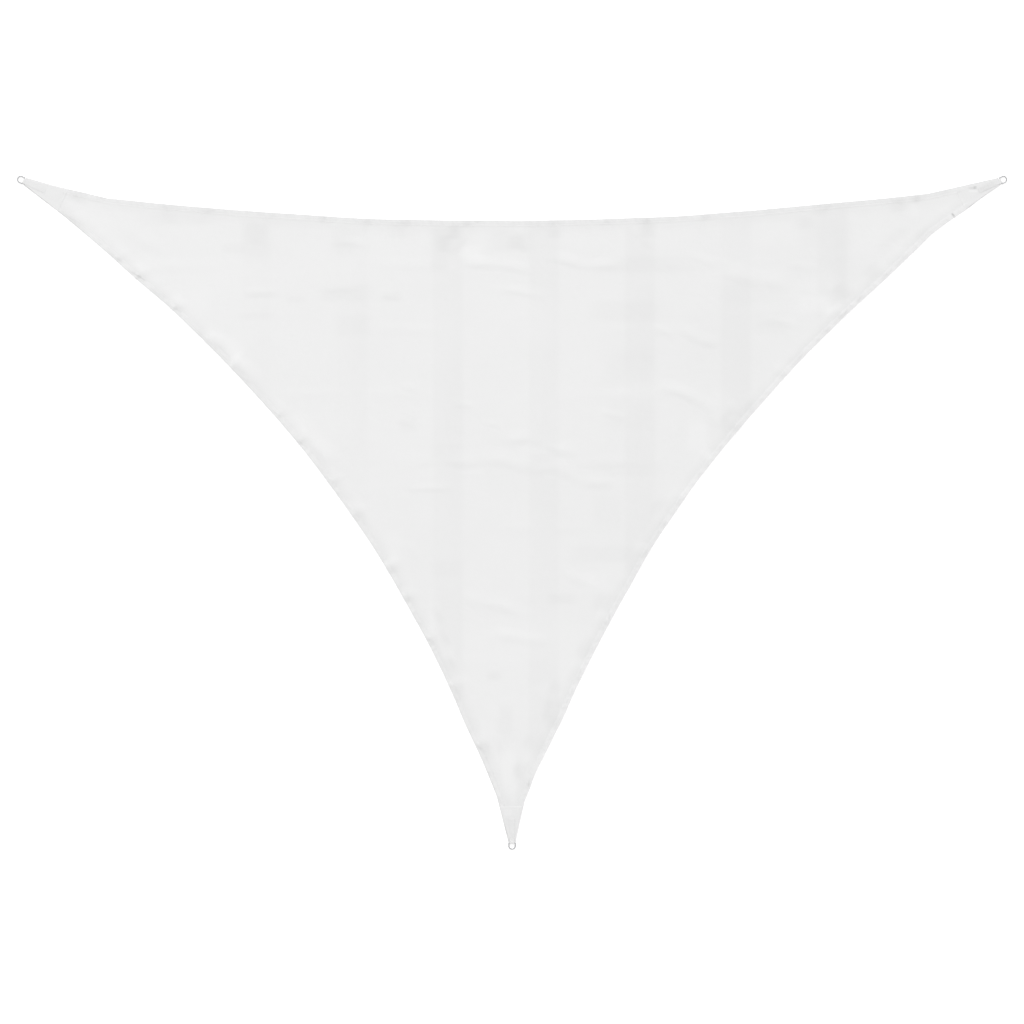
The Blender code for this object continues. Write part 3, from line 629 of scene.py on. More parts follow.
def roll_height(edge, along, inside):
    """The hem's roll, strongest beside each gather: a ridge along the seam that falls to the edge and, more
    slowly, into the cloth. Along the top side the edge itself curls up instead."""
    strength = 0.16 + 0.10 * beat(along, 0.43, 0.9) * beat(along, 0.77)
    for gather in GATHERS[edge.name]:
        strength = strength + ROLL_SHARE * (gather.height / 0.0030) * bump((along - gather.along) / 0.070)
    if edge.name == "top":
        return ROLL_HEIGHT * strength * bump(inside / 0.048)
    falls = np.where(inside < HEM_WIDTH, HEM_WIDTH, ROLL_REACH)
    return ROLL_HEIGHT * strength * bump((inside - HEM_WIDTH) / falls)


def wrinkle_height(along, inside):
    """Waves of about 130 mm that run in from the seam and are gone 110 mm inside the edge."""
    waves = 1.0 + beat(along, 0.131, 1.6 * beat(along, 0.57, 0.7))
    return 0.0006 * waves * smooth((0.110 - inside) / 0.080)


def pucker_height(along, inside):
    """Small waves along the hem's seam, uneven in spacing and strength, gone at the band's inner edge."""
    slow = 0.55 + 0.45 * beat(along, 0.47, 1.3) * beat(along, 0.73)
    waves = 0.0007 * (1.0 + beat(along, 0.058, 1.9 * beat(along, 0.29) + 40.0 * inside))
    waves = waves + 0.0003 * (1.0 + beat(along, 0.034, 2.4 * beat(along, 0.41) - 55.0 * inside))
    return slow * waves * bump(np.clip(inside / HEM_WIDTH, 0.0, 1.0) * 1.05 - 0.35)


def mark_depth(marks, half_width, along, inside):
    """How far marks press into the hem band: the deepest of them, each a hump along its slanting line and
    across it."""
    depth = np.zeros(len(along))
    for mark in marks:
        run = along - mark.along
        across = inside - mark.inside - mark.slant * run
        depth = np.maximum(depth, mark.depth * bump(run / mark.reach) * bump(across / half_width))
    return depth


def in_corner(corner, points):
    """Which points lie within the reach of one corner's pieces."""
    return corner.away(points) < 2.0 * LIFT_END


def corner_lift(distance):
    """The cloth's lift over the tab's lower leaf: level, then an even slope down to the floor."""
    return CORNER_LIFT * np.clip((LIFT_END - distance) / (LIFT_END - LIFT_FLAT), 0.0, 1.0)


def underside(points, near=None):
    """Height of the cloth's underside: creases, folds and gathers, calm near the corners, and the lift there.
    With near given, only that side's gathers count."""
    height = pack_height(points) + swell_height(points)
    height = height + sum(fold_height(fold, points) for fold in (*FOLDS, *SMALL_FOLDS))
    for edge in EDGES if near is None else [near]:
        along, inside = edge.foot(points)
        close = np.abs(inside) < SIDE_REACH
        along, inside = along[close], np.maximum(inside[close], 0.0)
        height[close] += gather_height(edge, along, inside) + wrinkle_height(along, inside)
        height[close] += roll_height(edge, along, inside)
    for corner in CORNERS:
        calm = smooth((corner.away(points) - CALM_START) / (CALM_END - CALM_START))
        height = height * (CALM_LEFT + (1.0 - CALM_LEFT) * calm)
    for corner in CORNERS:
        height = height + in_corner(corner, points) * corner_lift(corner.depth(points))
    return height


# ---- the cloth's tone
def side_painted_shade(edge, along, inside):
    """Sum of the painted shade and light placed beside one side, each place fading at its ends and over its
    near and far limits."""
    tone = np.zeros(len(along))
    for grey in PAINTED_SIDE_SHADES[edge.name]:
        over = smooth((inside - grey.near) / SIDE_SHADE_FADE + 0.5) * smooth((grey.far - inside) / SIDE_SHADE_FADE + 0.5)
        tone += grey.tone * bump((along - grey.along) / grey.reach) * over
    return tone


def hem_painted_streaks(edge, along, inside):
    """Painted shade and light on the hem in streaks of 40 to 200 mm along the side that slant in and fade
    inwards.
    """
    streaks = beat(along, 0.083, 2.1 * beat(along, 0.61, len(edge.name)))
    fine = beat(along, 0.037, 1.7 * beat(along, 0.37) + 90.0 * inside)
    slow = beat(along, 0.23, 1.3 * beat(along, 0.87))
    return HEM_STREAK_SHADE * (streaks + 0.8 * fine + 0.6 * slow) * (1.0 - 0.7 * smooth((inside - 0.010) / 0.020))


def pack_painted_shade(points):
    """Painted shade in wide bands along the packing's upright creases, which come and go along their way,
    faint in the west and stronger in the east."""
    x, y = points.T
    share = np.clip(0.86 + 0.26 * np.sin(4.3 * y + 2.9 * x) + 0.22 * np.sin(9.7 * y - 3.1 * x), 0.0, 1.0)
    share = share * (0.25 + 0.75 * smooth((x + 1.2) / 1.0))
    return -PACK_SHADE * smooth((PACK_SHADE_BAND - to_nearest(x, PACK_X)) / 0.035 + 0.5) * share


def painted_place_tone(points):
    """Sum of the soft places of painted shade and light in the cloth, each a rounded box."""
    tone = np.zeros(len(points))
    for place in PAINTED_PLACES:
        beside = np.abs(points - np.array([place.x, place.y])) / np.array([place.half_x, place.half_y])
        tone += place.tone * np.prod(smooth((1.45 - beside) / 0.9), axis=1)
    return tone


def painted_cloth_shade(points):
    """Painted shade and light on the cloth away from its seams: shade bands on the packing creases, the
    painted places, and painted shade towards the east.
    """
    return pack_painted_shade(points) + painted_place_tone(points) - EAST_PAINTED_SHADE * smooth((points[:, 0] - 0.2) / 1.6)


# ---- mesh helpers
def grid_faces(rows, columns, round_rows=False, round_columns=False):
    """Quads of a grid numbered row by row, joined round where it is said so."""
    i = np.arange(rows if round_rows else rows - 1)
    j = np.arange(columns if round_columns else columns - 1)
    i, j = (x.ravel() for x in np.meshgrid(i, j, indexing="ij"))
    k, m = (i + 1) % rows, (j + 1) % columns
    return np.column_stack([i * columns + j, i * columns + m, k * columns + m, k * columns + j])


def tube_faces(rings, count, clockwise=False, closed=False):
    """Faces of a tube through rings of count points, which run anticlockwise or clockwise as seen from its
    start, with an end face at either end unless the tube closes on itself."""
    ends = [] if closed else [np.vstack([np.arange(count)[::-1], (rings - 1) * count + np.arange(count)])]
    faces = [grid_faces(rings, count, round_rows=closed, round_columns=True), *ends]
    return [block[:, ::-1] for block in faces] if clockwise else faces


def add_object(name, points, faces, finish):
    """An object at the origin, its places in its mesh."""
    mesh = bpy.data.meshes.new(name)
    mesh.from_pydata(points, [], faces)
    mesh.materials.append(finish)
    made = bpy.data.objects.new(name, mesh)
    bpy.context.scene.collection.objects.link(made)
    return made


def add_piece(name, points, faces, finish, uv=None, tone=None):
    """A mesh piece that rides on the sail's body. faces is an array of quads or a list of such arrays."""
    faces = faces if isinstance(faces, list) else [faces]
    made = add_object(name, points.tolist(), [face for block in faces for face in block.tolist()], finish)
    mesh = made.data
    mesh.shade_smooth()
    if uv is not None:
        corners = np.concatenate([block.ravel() for block in faces])
        mesh.uv_layers.new(name="lay").data.foreach_set("uv", uv[corners].astype(np.float32).ravel())
    if tone is not None:
        mesh.attributes.new("tone", "FLOAT", "POINT").data.foreach_set("value", tone.astype(np.float32))
    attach(made, BODY)
    return made


def add_sheet(name, plan, faces, low, high, finish, lay, tone):
    """A thin closed sheet: its top, its underside, and a wall round its open rim."""
    count = len(plan)
    a, c, b, d = (plan[faces[:, i]] for i in (0, 2, 1, 3))
    area = (c - a)[:, 0] * (d - b)[:, 1] - (c - a)[:, 1] * (d - b)[:, 0]
    faces = np.where((area > 0.0)[:, None], faces, faces[:, ::-1])
    points = np.vstack([np.column_stack([plan, high]), np.column_stack([plan, low])])
    edges = np.vstack([faces[:, [k, (k + 1) % 4]] for k in range(4)])
    edges = edges[edges[:, 0] != edges[:, 1]]
    keys, back = edges[:, 0] * count + edges[:, 1], edges[:, 1] * count + edges[:, 0]
    rim = edges[~np.isin(keys, back)]
    wall = np.column_stack([rim[:, 0], rim[:, 0] + count, rim[:, 1] + count, rim[:, 1]])
    faces = np.vstack([faces, faces[:, ::-1] + count, wall])
    return add_piece(name, points, faces, finish, np.vstack([lay, lay]), np.tile(tone, 2))


# ---- shader helpers
def wire(tree, kind, inputs=None, **settings):
    """A shader node with its settings and inputs; an input is a value or another node's output."""
    node = tree.nodes.new(kind)
    for key, value in settings.items():
        setattr(node, key, value)
    for key, value in (inputs or {}).items():
        if isinstance(value, bpy.types.NodeSocket):
            tree.links.new(value, node.inputs[key])
        else:
            node.inputs[key].default_value = value
    return node


def maths(tree, operation, value, *others):
    """The operation carried through the values in turn."""
    for other in others or (0.0,):
        value = wire(tree, "ShaderNodeMath", {0: value, 1: other}, operation=operation).outputs[0]
    return value


def vectors(tree, operation, a, b):
    """The operation on two vectors."""
    return wire(tree, "ShaderNodeVectorMath", {0: a, 1: b}, operation=operation).outputs[0]


def spread(tree, value, gain, low):
    """low + gain * value."""
    return maths(tree, "ADD", maths(tree, "MULTIPLY", value, gain), low)


def ribs(tree, value, pitch, more=None):
    """|sin(pi * value / pitch + more)|, a rib at every pitch."""
    turn = maths(tree, "MULTIPLY", value, math.pi / pitch)
    turn = turn if more is None else maths(tree, "ADD", turn, more)
    return maths(tree, "ABSOLUTE", maths(tree, "SINE", turn))


def noise(tree, place, scale, detail, output=0, **more):
    """A noise pattern's grey, or its colour where output is 1."""
    inputs = {"Vector": place, "Scale": scale, "Detail": detail, **more}
    return wire(tree, "ShaderNodeTexNoise", inputs).outputs[output]


def new_group(name, inputs, outputs):
    """A shader node group with these sockets, and its input and output nodes."""
    tree = bpy.data.node_groups.new(name, "ShaderNodeTree")
    for label, kind, value in inputs:
        socket = tree.interface.new_socket(name=label, in_out="INPUT", socket_type=kind)
        if value is not None:
            socket.default_value = value
    for label in outputs:
        tree.interface.new_socket(name=label, in_out="OUTPUT", socket_type="NodeSocketFloat")
    return tree, tree.nodes.new("NodeGroupInput").outputs, tree.nodes.new("NodeGroupOutput").inputs


def new_finish(name, settings):
    """A material with these values on its shader's own sockets, its node tree and those sockets."""
    made = bpy.data.materials.new(name)
    made.use_nodes = True
    sockets = made.node_tree.nodes["Principled BSDF"].inputs
    for socket, value in settings.items():
        sockets[socket].default_value = value
    return made, made.node_tree, sockets


def paint(tree, sockets, colour, *tints):
    """The shader's colour, scaled over the surface by the product of its tints."""
    tint = maths(tree, "MULTIPLY", *tints) if len(tints) > 1 else tints[0]
    scaled = wire(tree, "ShaderNodeVectorMath", {0: colour, "Scale": tint}, operation="SCALE")
    tree.links.new(scaled.outputs[0], sockets["Base Color"])


def relief(tree, sockets, *layers):
    """The shader's normal from one bump on another; a layer is a height, its depth and its strength."""
    normal = {}
    for height, depth, strength in layers:
        inputs = {"Height": height, "Distance": depth, "Strength": strength, **normal}
        normal = {"Normal": wire(tree, "ShaderNodeBump", inputs).outputs[0]}
    tree.links.new(normal["Normal"], sockets["Normal"])


def laid(tree):
    """Places on the piece as its cloth was cut, from its own map."""
    return wire(tree, "ShaderNodeUVMap", uv_map="lay").outputs[0]


def own_tone(tree):
    """The piece's tone attribute at each of its points: painted shade and light on the sheet, hem and
    patches, and the grey of a tab's upper leaf.
    """
    return wire(tree, "ShaderNodeAttribute", attribute_name="tone").outputs["Fac"]


def on_object(tree):
    """Places on the object."""
    return wire(tree, "ShaderNodeTexCoord").outputs["Object"]


# ---- finishes
def weave_group():
    """Plain weave: rounded crossings at every pitch, |sin * sin| ** 0.6, warp and weft a little apart in
    tone by the sign of sin * sin, and the yarns uneven in thickness."""
    inputs = [("Lay", "NodeSocketVector", None), ("Pitch", "NodeSocketFloat", WEAVE_PITCH)]
    tree, given, out = new_group("plain weave", inputs, ["Height", "Tone"])
    parts = wire(tree, "ShaderNodeSeparateXYZ", {0: given["Lay"]}).outputs
    slub = maths(tree, "SUBTRACT", noise(tree, given["Lay"], 90.0, 2.0), 0.5)
    waver = maths(tree, "MULTIPLY", slub, 0.9)
    sines = []
    for axis in ("X", "Y"):
        turn = maths(tree, "DIVIDE", maths(tree, "MULTIPLY", parts[axis], math.pi), given["Pitch"])
        sines.append(maths(tree, "SINE", maths(tree, "ADD", turn, waver)))
    product = maths(tree, "MULTIPLY", *sines)
    tree.links.new(maths(tree, "POWER", maths(tree, "ABSOLUTE", product), 0.6), out["Height"])
    tree.links.new(spread(tree, product, 0.5, 0.5), out["Tone"])
    return tree


def crumple_group():
    """Fine crumple of handled cloth: ridged noise about 60 mm long plus small dents of about 12 mm."""
    inputs = [("Lay", "NodeSocketVector", None), ("Share of small dents", "NodeSocketFloat", 0.25)]
    tree, given, out = new_group("cloth crumple", inputs, ["Height", "Tone"])
    bend = noise(tree, given["Lay"], 3.0, 2.0, output=1)
    moved = vectors(tree, "ADD", given["Lay"], vectors(tree, "MULTIPLY", bend, (0.22, 0.22, 0.22)))
    long_dents = maths(tree, "SUBTRACT", noise(tree, moved, 9.0, 3.0, Roughness=0.45), 0.5)
    small = maths(tree, "MULTIPLY", noise(tree, moved, 62.0, 2.0), given["Share of small dents"])
    tree.links.new(maths(tree, "ADD", maths(tree, "ABSOLUTE", long_dents), small), out["Height"])
    tree.links.new(noise(tree, given["Lay"], 1.3, 3.0), out["Tone"])
    return tree


def cloth_finish(name, colour, weave, crumple, crumple_depth):
    """Woven white cloth: weave and crumple as bump, its colour varied by yarn, by painted shade in the
    weave's hollows, by broad mottle and by the piece's tone attribute, which carries painted shade and light."""
    settings = {"Roughness": 0.82, "Sheen Weight": 0.06, "Sheen Roughness": 0.5, "Specular IOR Level": 0.25}
    made, tree, sockets = new_finish(name, settings)
    lay = laid(tree)
    yarn = wire(tree, "ShaderNodeGroup", {"Lay": lay, "Pitch": WEAVE_PITCH}, node_tree=weave).outputs
    folds = wire(tree, "ShaderNodeGroup", {"Lay": lay}, node_tree=crumple).outputs
    mottle = spread(tree, folds["Tone"], 0.030, 0.985)
    threads = spread(tree, yarn["Tone"], 0.030, 0.985)
    # Painted shade in the hollows between the yarns.
    weave_hollow_shade = spread(tree, yarn["Height"], 0.060, 0.955)
    paint(tree, sockets, colour, mottle, threads, weave_hollow_shade, own_tone(tree))
    relief(tree, sockets, (folds["Height"], crumple_depth, 1.0), (yarn["Height"], WEAVE_DEPTH, 1.0))
    return made


def webbing_finish(name, colour):
    """Flat woven webbing: ribs across the strap, fine warp lines along it, and painted shade in its grooves.
    """
    made, tree, sockets = new_finish(name, {"Roughness": 0.75, "Sheen Weight": 0.08})
    lay = laid(tree)
    parts = wire(tree, "ShaderNodeSeparateXYZ", {0: lay}).outputs
    chevron = maths(tree, "MULTIPLY", ribs(tree, parts["Y"], CHEVRON_PITCH), 0.7)
    rib = maths(tree, "MULTIPLY", ribs(tree, parts["X"], WEFT_PITCH), 0.3)
    slant = maths(tree, "MULTIPLY", ribs(tree, parts["X"], WEFT_PITCH, chevron), 0.7)
    height = maths(tree, "ADD", rib, slant)
    fibre = spread(tree, noise(tree, lay, 160.0, 3.0), 0.08, 0.96)
    # Painted shade in the webbing's grooves.
    paint(tree, sockets, colour, spread(tree, height, 0.10, 0.90), fibre, own_tone(tree))
    relief(tree, sockets, (height, 0.0004, 1.0))
    return made


def thread_finish(name, colour):
    """Sewing thread: fibres a little lighter and darker along each stitch."""
    made, tree, sockets = new_finish(name, {"Roughness": 0.55})
    fibre = noise(tree, on_object(tree), 900.0, 2.0)
    paint(tree, sockets, colour, spread(tree, fibre, 0.16, 0.90))
    relief(tree, sockets, (fibre, 0.0001, 1.0))
    return made


def steel_finish(name, colour):
    """Satin stainless wire: fine drawn lines, faint cloudy wear in its gloss."""
    made, tree, sockets = new_finish(name, {"Metallic": 1.0})
    lines = noise(tree, vectors(tree, "MULTIPLY", laid(tree), (40.0, 900.0, 1.0)), 1.0, 3.0)
    cloud = spread(tree, noise(tree, on_object(tree), 120.0, 4.0), 0.16, 0.34)
    tree.links.new(maths(tree, "ADD", cloud, maths(tree, "MULTIPLY", lines, 0.06)), sockets["Roughness"])
    paint(tree, sockets, colour, spread(tree, lines, 0.10, 0.95))
    relief(tree, sockets, (lines, 0.00002, 0.6))
    return made


# ---- the sail sheet
def stretched(count, stretch):
    """count + 1 shares from 0 to 1, the first steps longer than the last ones by the stretch."""
    u = np.linspace(0.0, 1.0, count + 1)
    return u + stretch * u * (1.0 - u)


def half_side(edge, from_start):
    """Half a side of the sheet, from the corner's middle past the end of its blunt tip to the side's middle,
    moved in by the sheet's inset."""
    corner = edge.start if from_start else edge.end
    tip = corner.place - SHEET_INSET * corner.pull
    blunt = 0.5 * TIP_WIDTH
    along = stretched(SHEET_CELLS, SHEET_STRETCH) * (0.5 * edge.length + blunt) - blunt
    place, _, inward = edge.at(np.maximum(along, 0.0) if from_start else edge.length - np.maximum(along, 0.0))
    place = place + SHEET_INSET * inward
    return place + np.clip(-along / blunt, 0.0, 1.0)[:, None] * (tip - place)


def sheet_third(edge_a, edge_b):
    """One third of the sheet, from a corner to the centre: a Coons surface between the two half sides that
    meet at the corner and the two straight spokes from the sides' middles to the centre."""
    spoke = stretched(SHEET_CELLS, SPOKE_STRETCH)[:, None]
    side_a, side_b = half_side(edge_a, True), half_side(edge_b, False)
    spoke_a = side_a[-1] + spoke * (CENTRE - side_a[-1])
    spoke_b = side_b[-1] + spoke * (CENTRE - side_b[-1])
    u = np.linspace(0.0, 1.0, SHEET_CELLS + 1)[:, None, None]
    v = u.transpose(1, 0, 2)
    flat = (1 - v) * side_a[:, None] + v * spoke_b[:, None] + (1 - u) * side_b[None] + u * spoke_a[None]
    corners = (1 - u) * (1 - v) * side_a[0] + u * (1 - v) * side_a[-1]
    corners = corners + (1 - u) * v * side_b[-1] + u * v * CENTRE
    return (flat - corners).reshape(-1, 2)


def make_sheet(finish):
    """The sail's one cloth: three surfaces joined at the spokes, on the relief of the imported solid."""
    size = SHEET_CELLS + 1
    plan = np.vstack([sheet_third(EDGES[i], EDGES[i - 1]) for i in range(3)])
    faces = np.vstack([grid_faces(size, size) + i * size * size for i in range(3)])
    _, first, which = np.unique(np.round(plan, 6), axis=0, return_index=True, return_inverse=True)
    plan, faces = plan[first], which.ravel()[faces]
    # The sheet's tone: the cloth's painted shade and light, only a share of it at the sides, and the painted
    # shade and light beside each side.
    share = BAND_SHARE + (1.0 - BAND_SHARE) * smooth(nearest_side(plan) / SHARE_REACH)
    tone = 1.0 + painted_cloth_shade(plan) * share
    # rim: the deepest painted shade on the cloth beside the hem.
    rim = np.zeros(len(plan))
    for edge in EDGES:
        along, depth = edge.foot(plan)
        tone = tone + side_painted_shade(edge, along, depth)
        rim = np.maximum(rim, edge.side.cloth_grey * smooth((CLOTH_SHADE_REACH - depth) / CLOTH_SHADE_FADE))
    # Painted light on the cloth near each corner.
    lights = [corner.light * bump((corner.away(plan) - LIGHT_MIDDLE) / LIGHT_REACH) for corner in CORNERS]
    tone = tone - rim + sum(lights)
    low = underside(plan)
    made = add_sheet("sail_sheet", plan, faces, low, low + CLOTH, finish, plan, tone)
    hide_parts("sail_cloth")
    return made


# ---- the turned hem
def hem_limit(edge, along):
    """The hem band's width: full, and mitred on the corner's middle line near either end."""
    place, _, inward = edge.at(along)
    width = np.full(len(along), HEM_WIDTH)
    for corner in (edge.start, edge.end):
        lean = inward @ corner.across
        reach = -((place - corner.place) @ corner.across) / np.where(np.abs(lean) < 1e-3, 1e-3, lean)
        width = np.where(corner.away(place) < 0.4, np.minimum(width, reach - 0.0002), width)
    return width


def hem_top(inside):
    """Height of the hem band's top over the cloth's underside: crowned, with a groove under each seam, and
    pressed down evenly to its inner edge."""
    crown = HEM_CROWN * bump((inside - CROWN_MIDDLE) / CROWN_REACH)
    groove = GROOVE_DEPTH * sum(bump((inside - row) / GROOVE_HALF_WIDTH) for row in SEAM_ROWS)
    press = HEM_PRESS * np.clip((inside - PRESS_START) / (HEM_WIDTH - PRESS_START), 0.0, 1.0)
    return HEM_TOP + crown - groove - press


def hem_profile():
    """The band's closed outline, as (distance inside the edge, height): along the underside to the edge, up
    round the fold, over the crowned top and its seams, and down the inner fold."""
    turn = np.radians(np.linspace(-90.0, 90.0, 7))
    half = 0.5 * HEM_TOP
    fold = np.column_stack([HEM_ROUND - HEM_ROUND * np.cos(turn), half + half * np.sin(turn)])
    top = np.array(HEM_STATIONS)
    over = np.column_stack([top, hem_top(top)])
    inner = [(HEM_WIDTH, hem_top(HEM_WIDTH) - 0.0001), (HEM_WIDTH, 0.0004), (HEM_WIDTH - 0.0005, 0.0)]
    return np.vstack([fold, over, inner])


def hem_height(edge, along, inside, plan):
    """The band's underside: the cloth's own relief and the small puckers of the seam."""
    calm = smooth((np.minimum(along, edge.length - along) - 0.12) / 0.25)
    return underside(plan, edge) + calm * pucker_height(along, inside)


def hem_tone(edge, along, inside, plan, press):
    """The band's tone: painted shade and light beside the side and in streaks, painted shade in its pressed
    marks and slit, painted shade and light at its rim and seams, and painted light at its inner step.
    """
    side = edge.side
    tone = BAND_TONE + BAND_SHARE * painted_cloth_shade(plan)
    tone = tone + side_painted_shade(edge, along, inside) + hem_painted_streaks(edge, along, inside)
    slit = mark_depth(SLITS.get(edge.name, []), SLIT_HALF_WIDTH, along, inside)
    # Painted shade in the pressed marks and the slit.
    tone = tone - MARK_PAINTED_SHADE * press - (SLIT_PAINTED_SHADE - MARK_PAINTED_SHADE) * slit
    # Painted shade along the rim, more near the side's ends; painted light at the inner step; painted shade
    # at the seams.
    near_end = smooth((END_REACH - np.minimum(along, edge.length - along)) / END_FADE)
    tone = tone - (side.rim_grey + side.end_grey * near_end) * smooth((RIM_REACH - inside) / HEM_FADE)
    tone = tone + side.step_light * smooth((inside - STEP_START) / STEP_FADE)
    return tone - side.seam_grey * smooth((inside - SEAM_START) / HEM_FADE)


def make_hem(finish):
    """The turned hem: its profile carried along each side, mitred at the corners, with its ends closed."""
    profile = hem_profile()
    count = len(profile)
    points, lays, tones, blocks, first = [], [], [], [], 0
    for edge in EDGES:
        stations = round(edge.length / HEM_STEP) + 1
        spots = np.linspace(0.0, edge.length, stations)
        along = np.repeat(spots, count)
        inside = np.outer(hem_limit(edge, spots) / HEM_WIDTH, profile[:, 0]).ravel()
        rise = np.tile(profile[:, 1], stations)
        place, _, inward = edge.at(along)
        plan = place + inside[:, None] * inward
        marks = mark_depth(HEM_MARKS[edge.name], MARK_HALF_WIDTH, along, inside)
        slit = mark_depth(SLITS.get(edge.name, []), SLIT_HALF_WIDTH, along, inside)
        press = np.maximum(marks, slit) * smooth((rise - 0.0010) / 0.0014)
        points.append(np.column_stack([plan, hem_height(edge, along, inside, plan) + rise - press]))
        lays.append(np.column_stack([along, inside]))
        tones.append(hem_tone(edge, along, inside, plan, press))
        blocks.append([block + first for block in tube_faces(stations, count, clockwise=True)])
        first += stations * count
    points, lays, tones = np.vstack(points), np.vstack(lays), np.concatenate(tones)
    faces = [np.vstack(parts) for parts in zip(*blocks)]
    return add_piece("turned_hem", points, faces, finish, lays, tones)


# ---- corner patches
def corner_chord(corner, distance, inset):
    """Where lines across the corner, this far in from its tip, meet the two sides, less the inset."""
    index = CORNERS.index(corner)
    before, after = SIDES[index - 1], SIDES[index]
    kinks = (before.kink_2_x, before.kink_2_y), (after.kink_1_x, after.kink_1_y)
    ends = []
    for tip, kink in zip(corner.tip_ends, kinks):
        way = unit(np.array(kink) - tip)
        point = tip + np.outer((distance - corner.depth(tip)) / -(way @ corner.pull), way)
        shift = math.copysign(inset / abs(way @ corner.pull), (tip - corner.place) @ corner.across)
        ends.append(point - shift * corner.across)
    return ends


def patch_seat(plan):
    """Height of what the patch lies on: the hem bands' top, easing down to the cloth between them."""
    lengths = [np.where(in_corner(c, plan), c.patch_length - c.depth(plan), -1.0) for c in CORNERS]
    beside = smooth((HEM_WIDTH + 0.004 - nearest_side(plan)) / PATCH_EASE_SIDE)
    over = np.maximum(beside, smooth((np.max(lengths, axis=0) - 0.004) / PATCH_EASE_END))
    return underside(plan) + CLOTH + GAP + (HEM_TOP - CLOTH) * over


def rim_shares(cells, rim):
    """Shares from 0 to 1 with a few close steps at either end, where a folded edge turns down."""
    close = rim * np.array([0.0, 0.12, 0.35, 1.0])
    return np.concatenate([close, np.linspace(rim, 1.0 - rim, cells)[1:-1], 1.0 - close[::-1]])


def folded_down(share, rim):
    """1 over the middle and falling evenly over each rim."""
    return RIM_PRESS + (1.0 - RIM_PRESS) * smooth(np.minimum(share, 1.0 - share) / rim)


def patch_top(corner, plan, u, v):
    """Top of the patch: its seat and thickness, a seam groove near its edges and slight puckers there."""
    edge = np.minimum(np.minimum(u, 1.0 - u) * PATCH_WIDTH, np.minimum(v, 1.0 - v) * corner.patch_length)
    edge = edge - PATCH_ROWS[0]
    pucker = (1.0 + np.sin(210.0 * plan.sum(1) + 60.0 * v)) * bump(edge / 0.014)
    thick = PATCH * folded_down(u, PATCH_RIMS[0]) * folded_down(v, PATCH_RIMS[1])
    return patch_seat(plan) + thick + 0.0002 * (pucker - bump(edge / 0.0025))


def make_patch(corner, finish):
    """A doubling patch, u across it and v along it, lying over the hem bands and the cloth between them."""
    shares = [rim_shares(PATCH_CELLS, rim) for rim in PATCH_RIMS]
    v, u = (x.ravel() for x in np.meshgrid(shares[1], shares[0], indexing="ij"))
    start, end = corner_chord(corner, PATCH_START + v * (corner.patch_length - PATCH_START), PATCH_INSET)
    plan = start + u[:, None] * (end - start)
    high = patch_top(corner, plan, u, v)
    low = np.minimum(patch_seat(plan), high - 0.0002)
    lay = np.column_stack([corner.depth(plan), (plan - corner.place) @ corner.across])
    # The patch's tone: the painted places, and painted light along its far folded edge.
    tone = BAND_TONE + painted_place_tone(plan) + PATCH_RIM_PAINTED_LIGHT * smooth((v - 0.960) / 0.015)
    faces = grid_faces(len(shares[1]), len(shares[0]))
    made = add_sheet(f"patch_{corner.name}", plan, faces, low, high, finish, lay, tone)
    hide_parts(f"corner_patch_{corner.name}")
    return made


# ---- webbing tabs
def tab_path():
    """Middle line of the tab's webbing, as (distance inside the tip, height): the lower leaf, round the
    ring's bar, down onto the patch, and the upper leaf."""
    half = 0.5 * WEBBING
    radius = 0.5 * RING_WIRE + GAP + half
    leaf_height = CORNER_LIFT + SOLID_CLOTH + GAP + PATCH + GAP + half
    drop_end = 0.012
    turn = np.radians(np.linspace(-90.0, 100.0, 27))
    arc = np.column_stack([-BAR_OUT - radius * np.cos(turn), BAR_HEIGHT + radius * np.sin(turn)])
    leaf = np.linspace(TAB_LENGTH, 0.0, 30, endpoint=False)
    drop = np.linspace(arc[-1, 0], drop_end, 10)[1:]
    share = smooth((drop - arc[-1, 0]) / (drop_end - arc[-1, 0]))
    down = np.column_stack([drop, arc[-1, 1] + (leaf_height - arc[-1, 1]) * share])
    upper = [np.linspace(drop_end, TAB_LENGTH - 0.005, 33)[1:], TAB_LENGTH - np.linspace(0.004, 0.0, 5)]
    upper = np.concatenate(upper)
    lower = np.column_stack([leaf, np.full(len(leaf), half)])
    return np.vstack([lower, arc, down, np.column_stack([upper, np.full(len(upper), leaf_height)])])


def webbing_section():
    """The webbing's closed section, as (place across, height): flat with rounded edges, 5 shallow rows."""
    half_width, half = 0.5 * WEBBING_WIDTH, 0.5 * WEBBING
    across = np.linspace(-half_width + half, half_width - half, 41)
    row = half * (0.93 + 0.07 * np.cos(2.0 * math.pi * across / 0.0059))
    turn = np.radians(np.linspace(90.0, -90.0, 9))[1:-1]
    right = np.column_stack([half_width - half + half * np.cos(turn), half * np.sin(turn)])
    return np.vstack([np.column_stack([across, row]), right, np.column_stack([across, -row])[::-1], -right])


def make_tab(corner, finish):
    """The tab: the webbing's section carried along its middle line, its cut end on top pressed thin."""
    path, section = tab_path(), webbing_section()
    count = len(section)
    marks = path_marks(path)
    normal = left_of(unit(np.gradient(path, axis=0)))
    press = corner.tab_end + (1.0 - corner.tab_end) * smooth((marks[-1] - marks) / 0.005)
    height = (section[:, 1] + 0.5 * WEBBING) * press[:, None] - 0.5 * WEBBING
    line = path[:, None, :] + height[:, :, None] * normal[:, None, :]
    plan = corner.place - line[..., :1] * corner.pull + section[None, :, :1] * corner.across
    points = np.concatenate([plan, line[..., 1:]], axis=2).reshape(-1, 3)
    lay = np.column_stack([np.repeat(marks, count), np.tile(section[:, 0], len(path))])
    tone = 1.0 - corner.tab_grey * smooth((lay[:, 0] - marks[-1] + 0.120) / 0.030)
    faces = tube_faces(len(path), count)
    made = add_piece(f"tab_{corner.name}", points, faces, finish, lay, tone)
    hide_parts(f"ring_tab_{corner.name}")
    return made


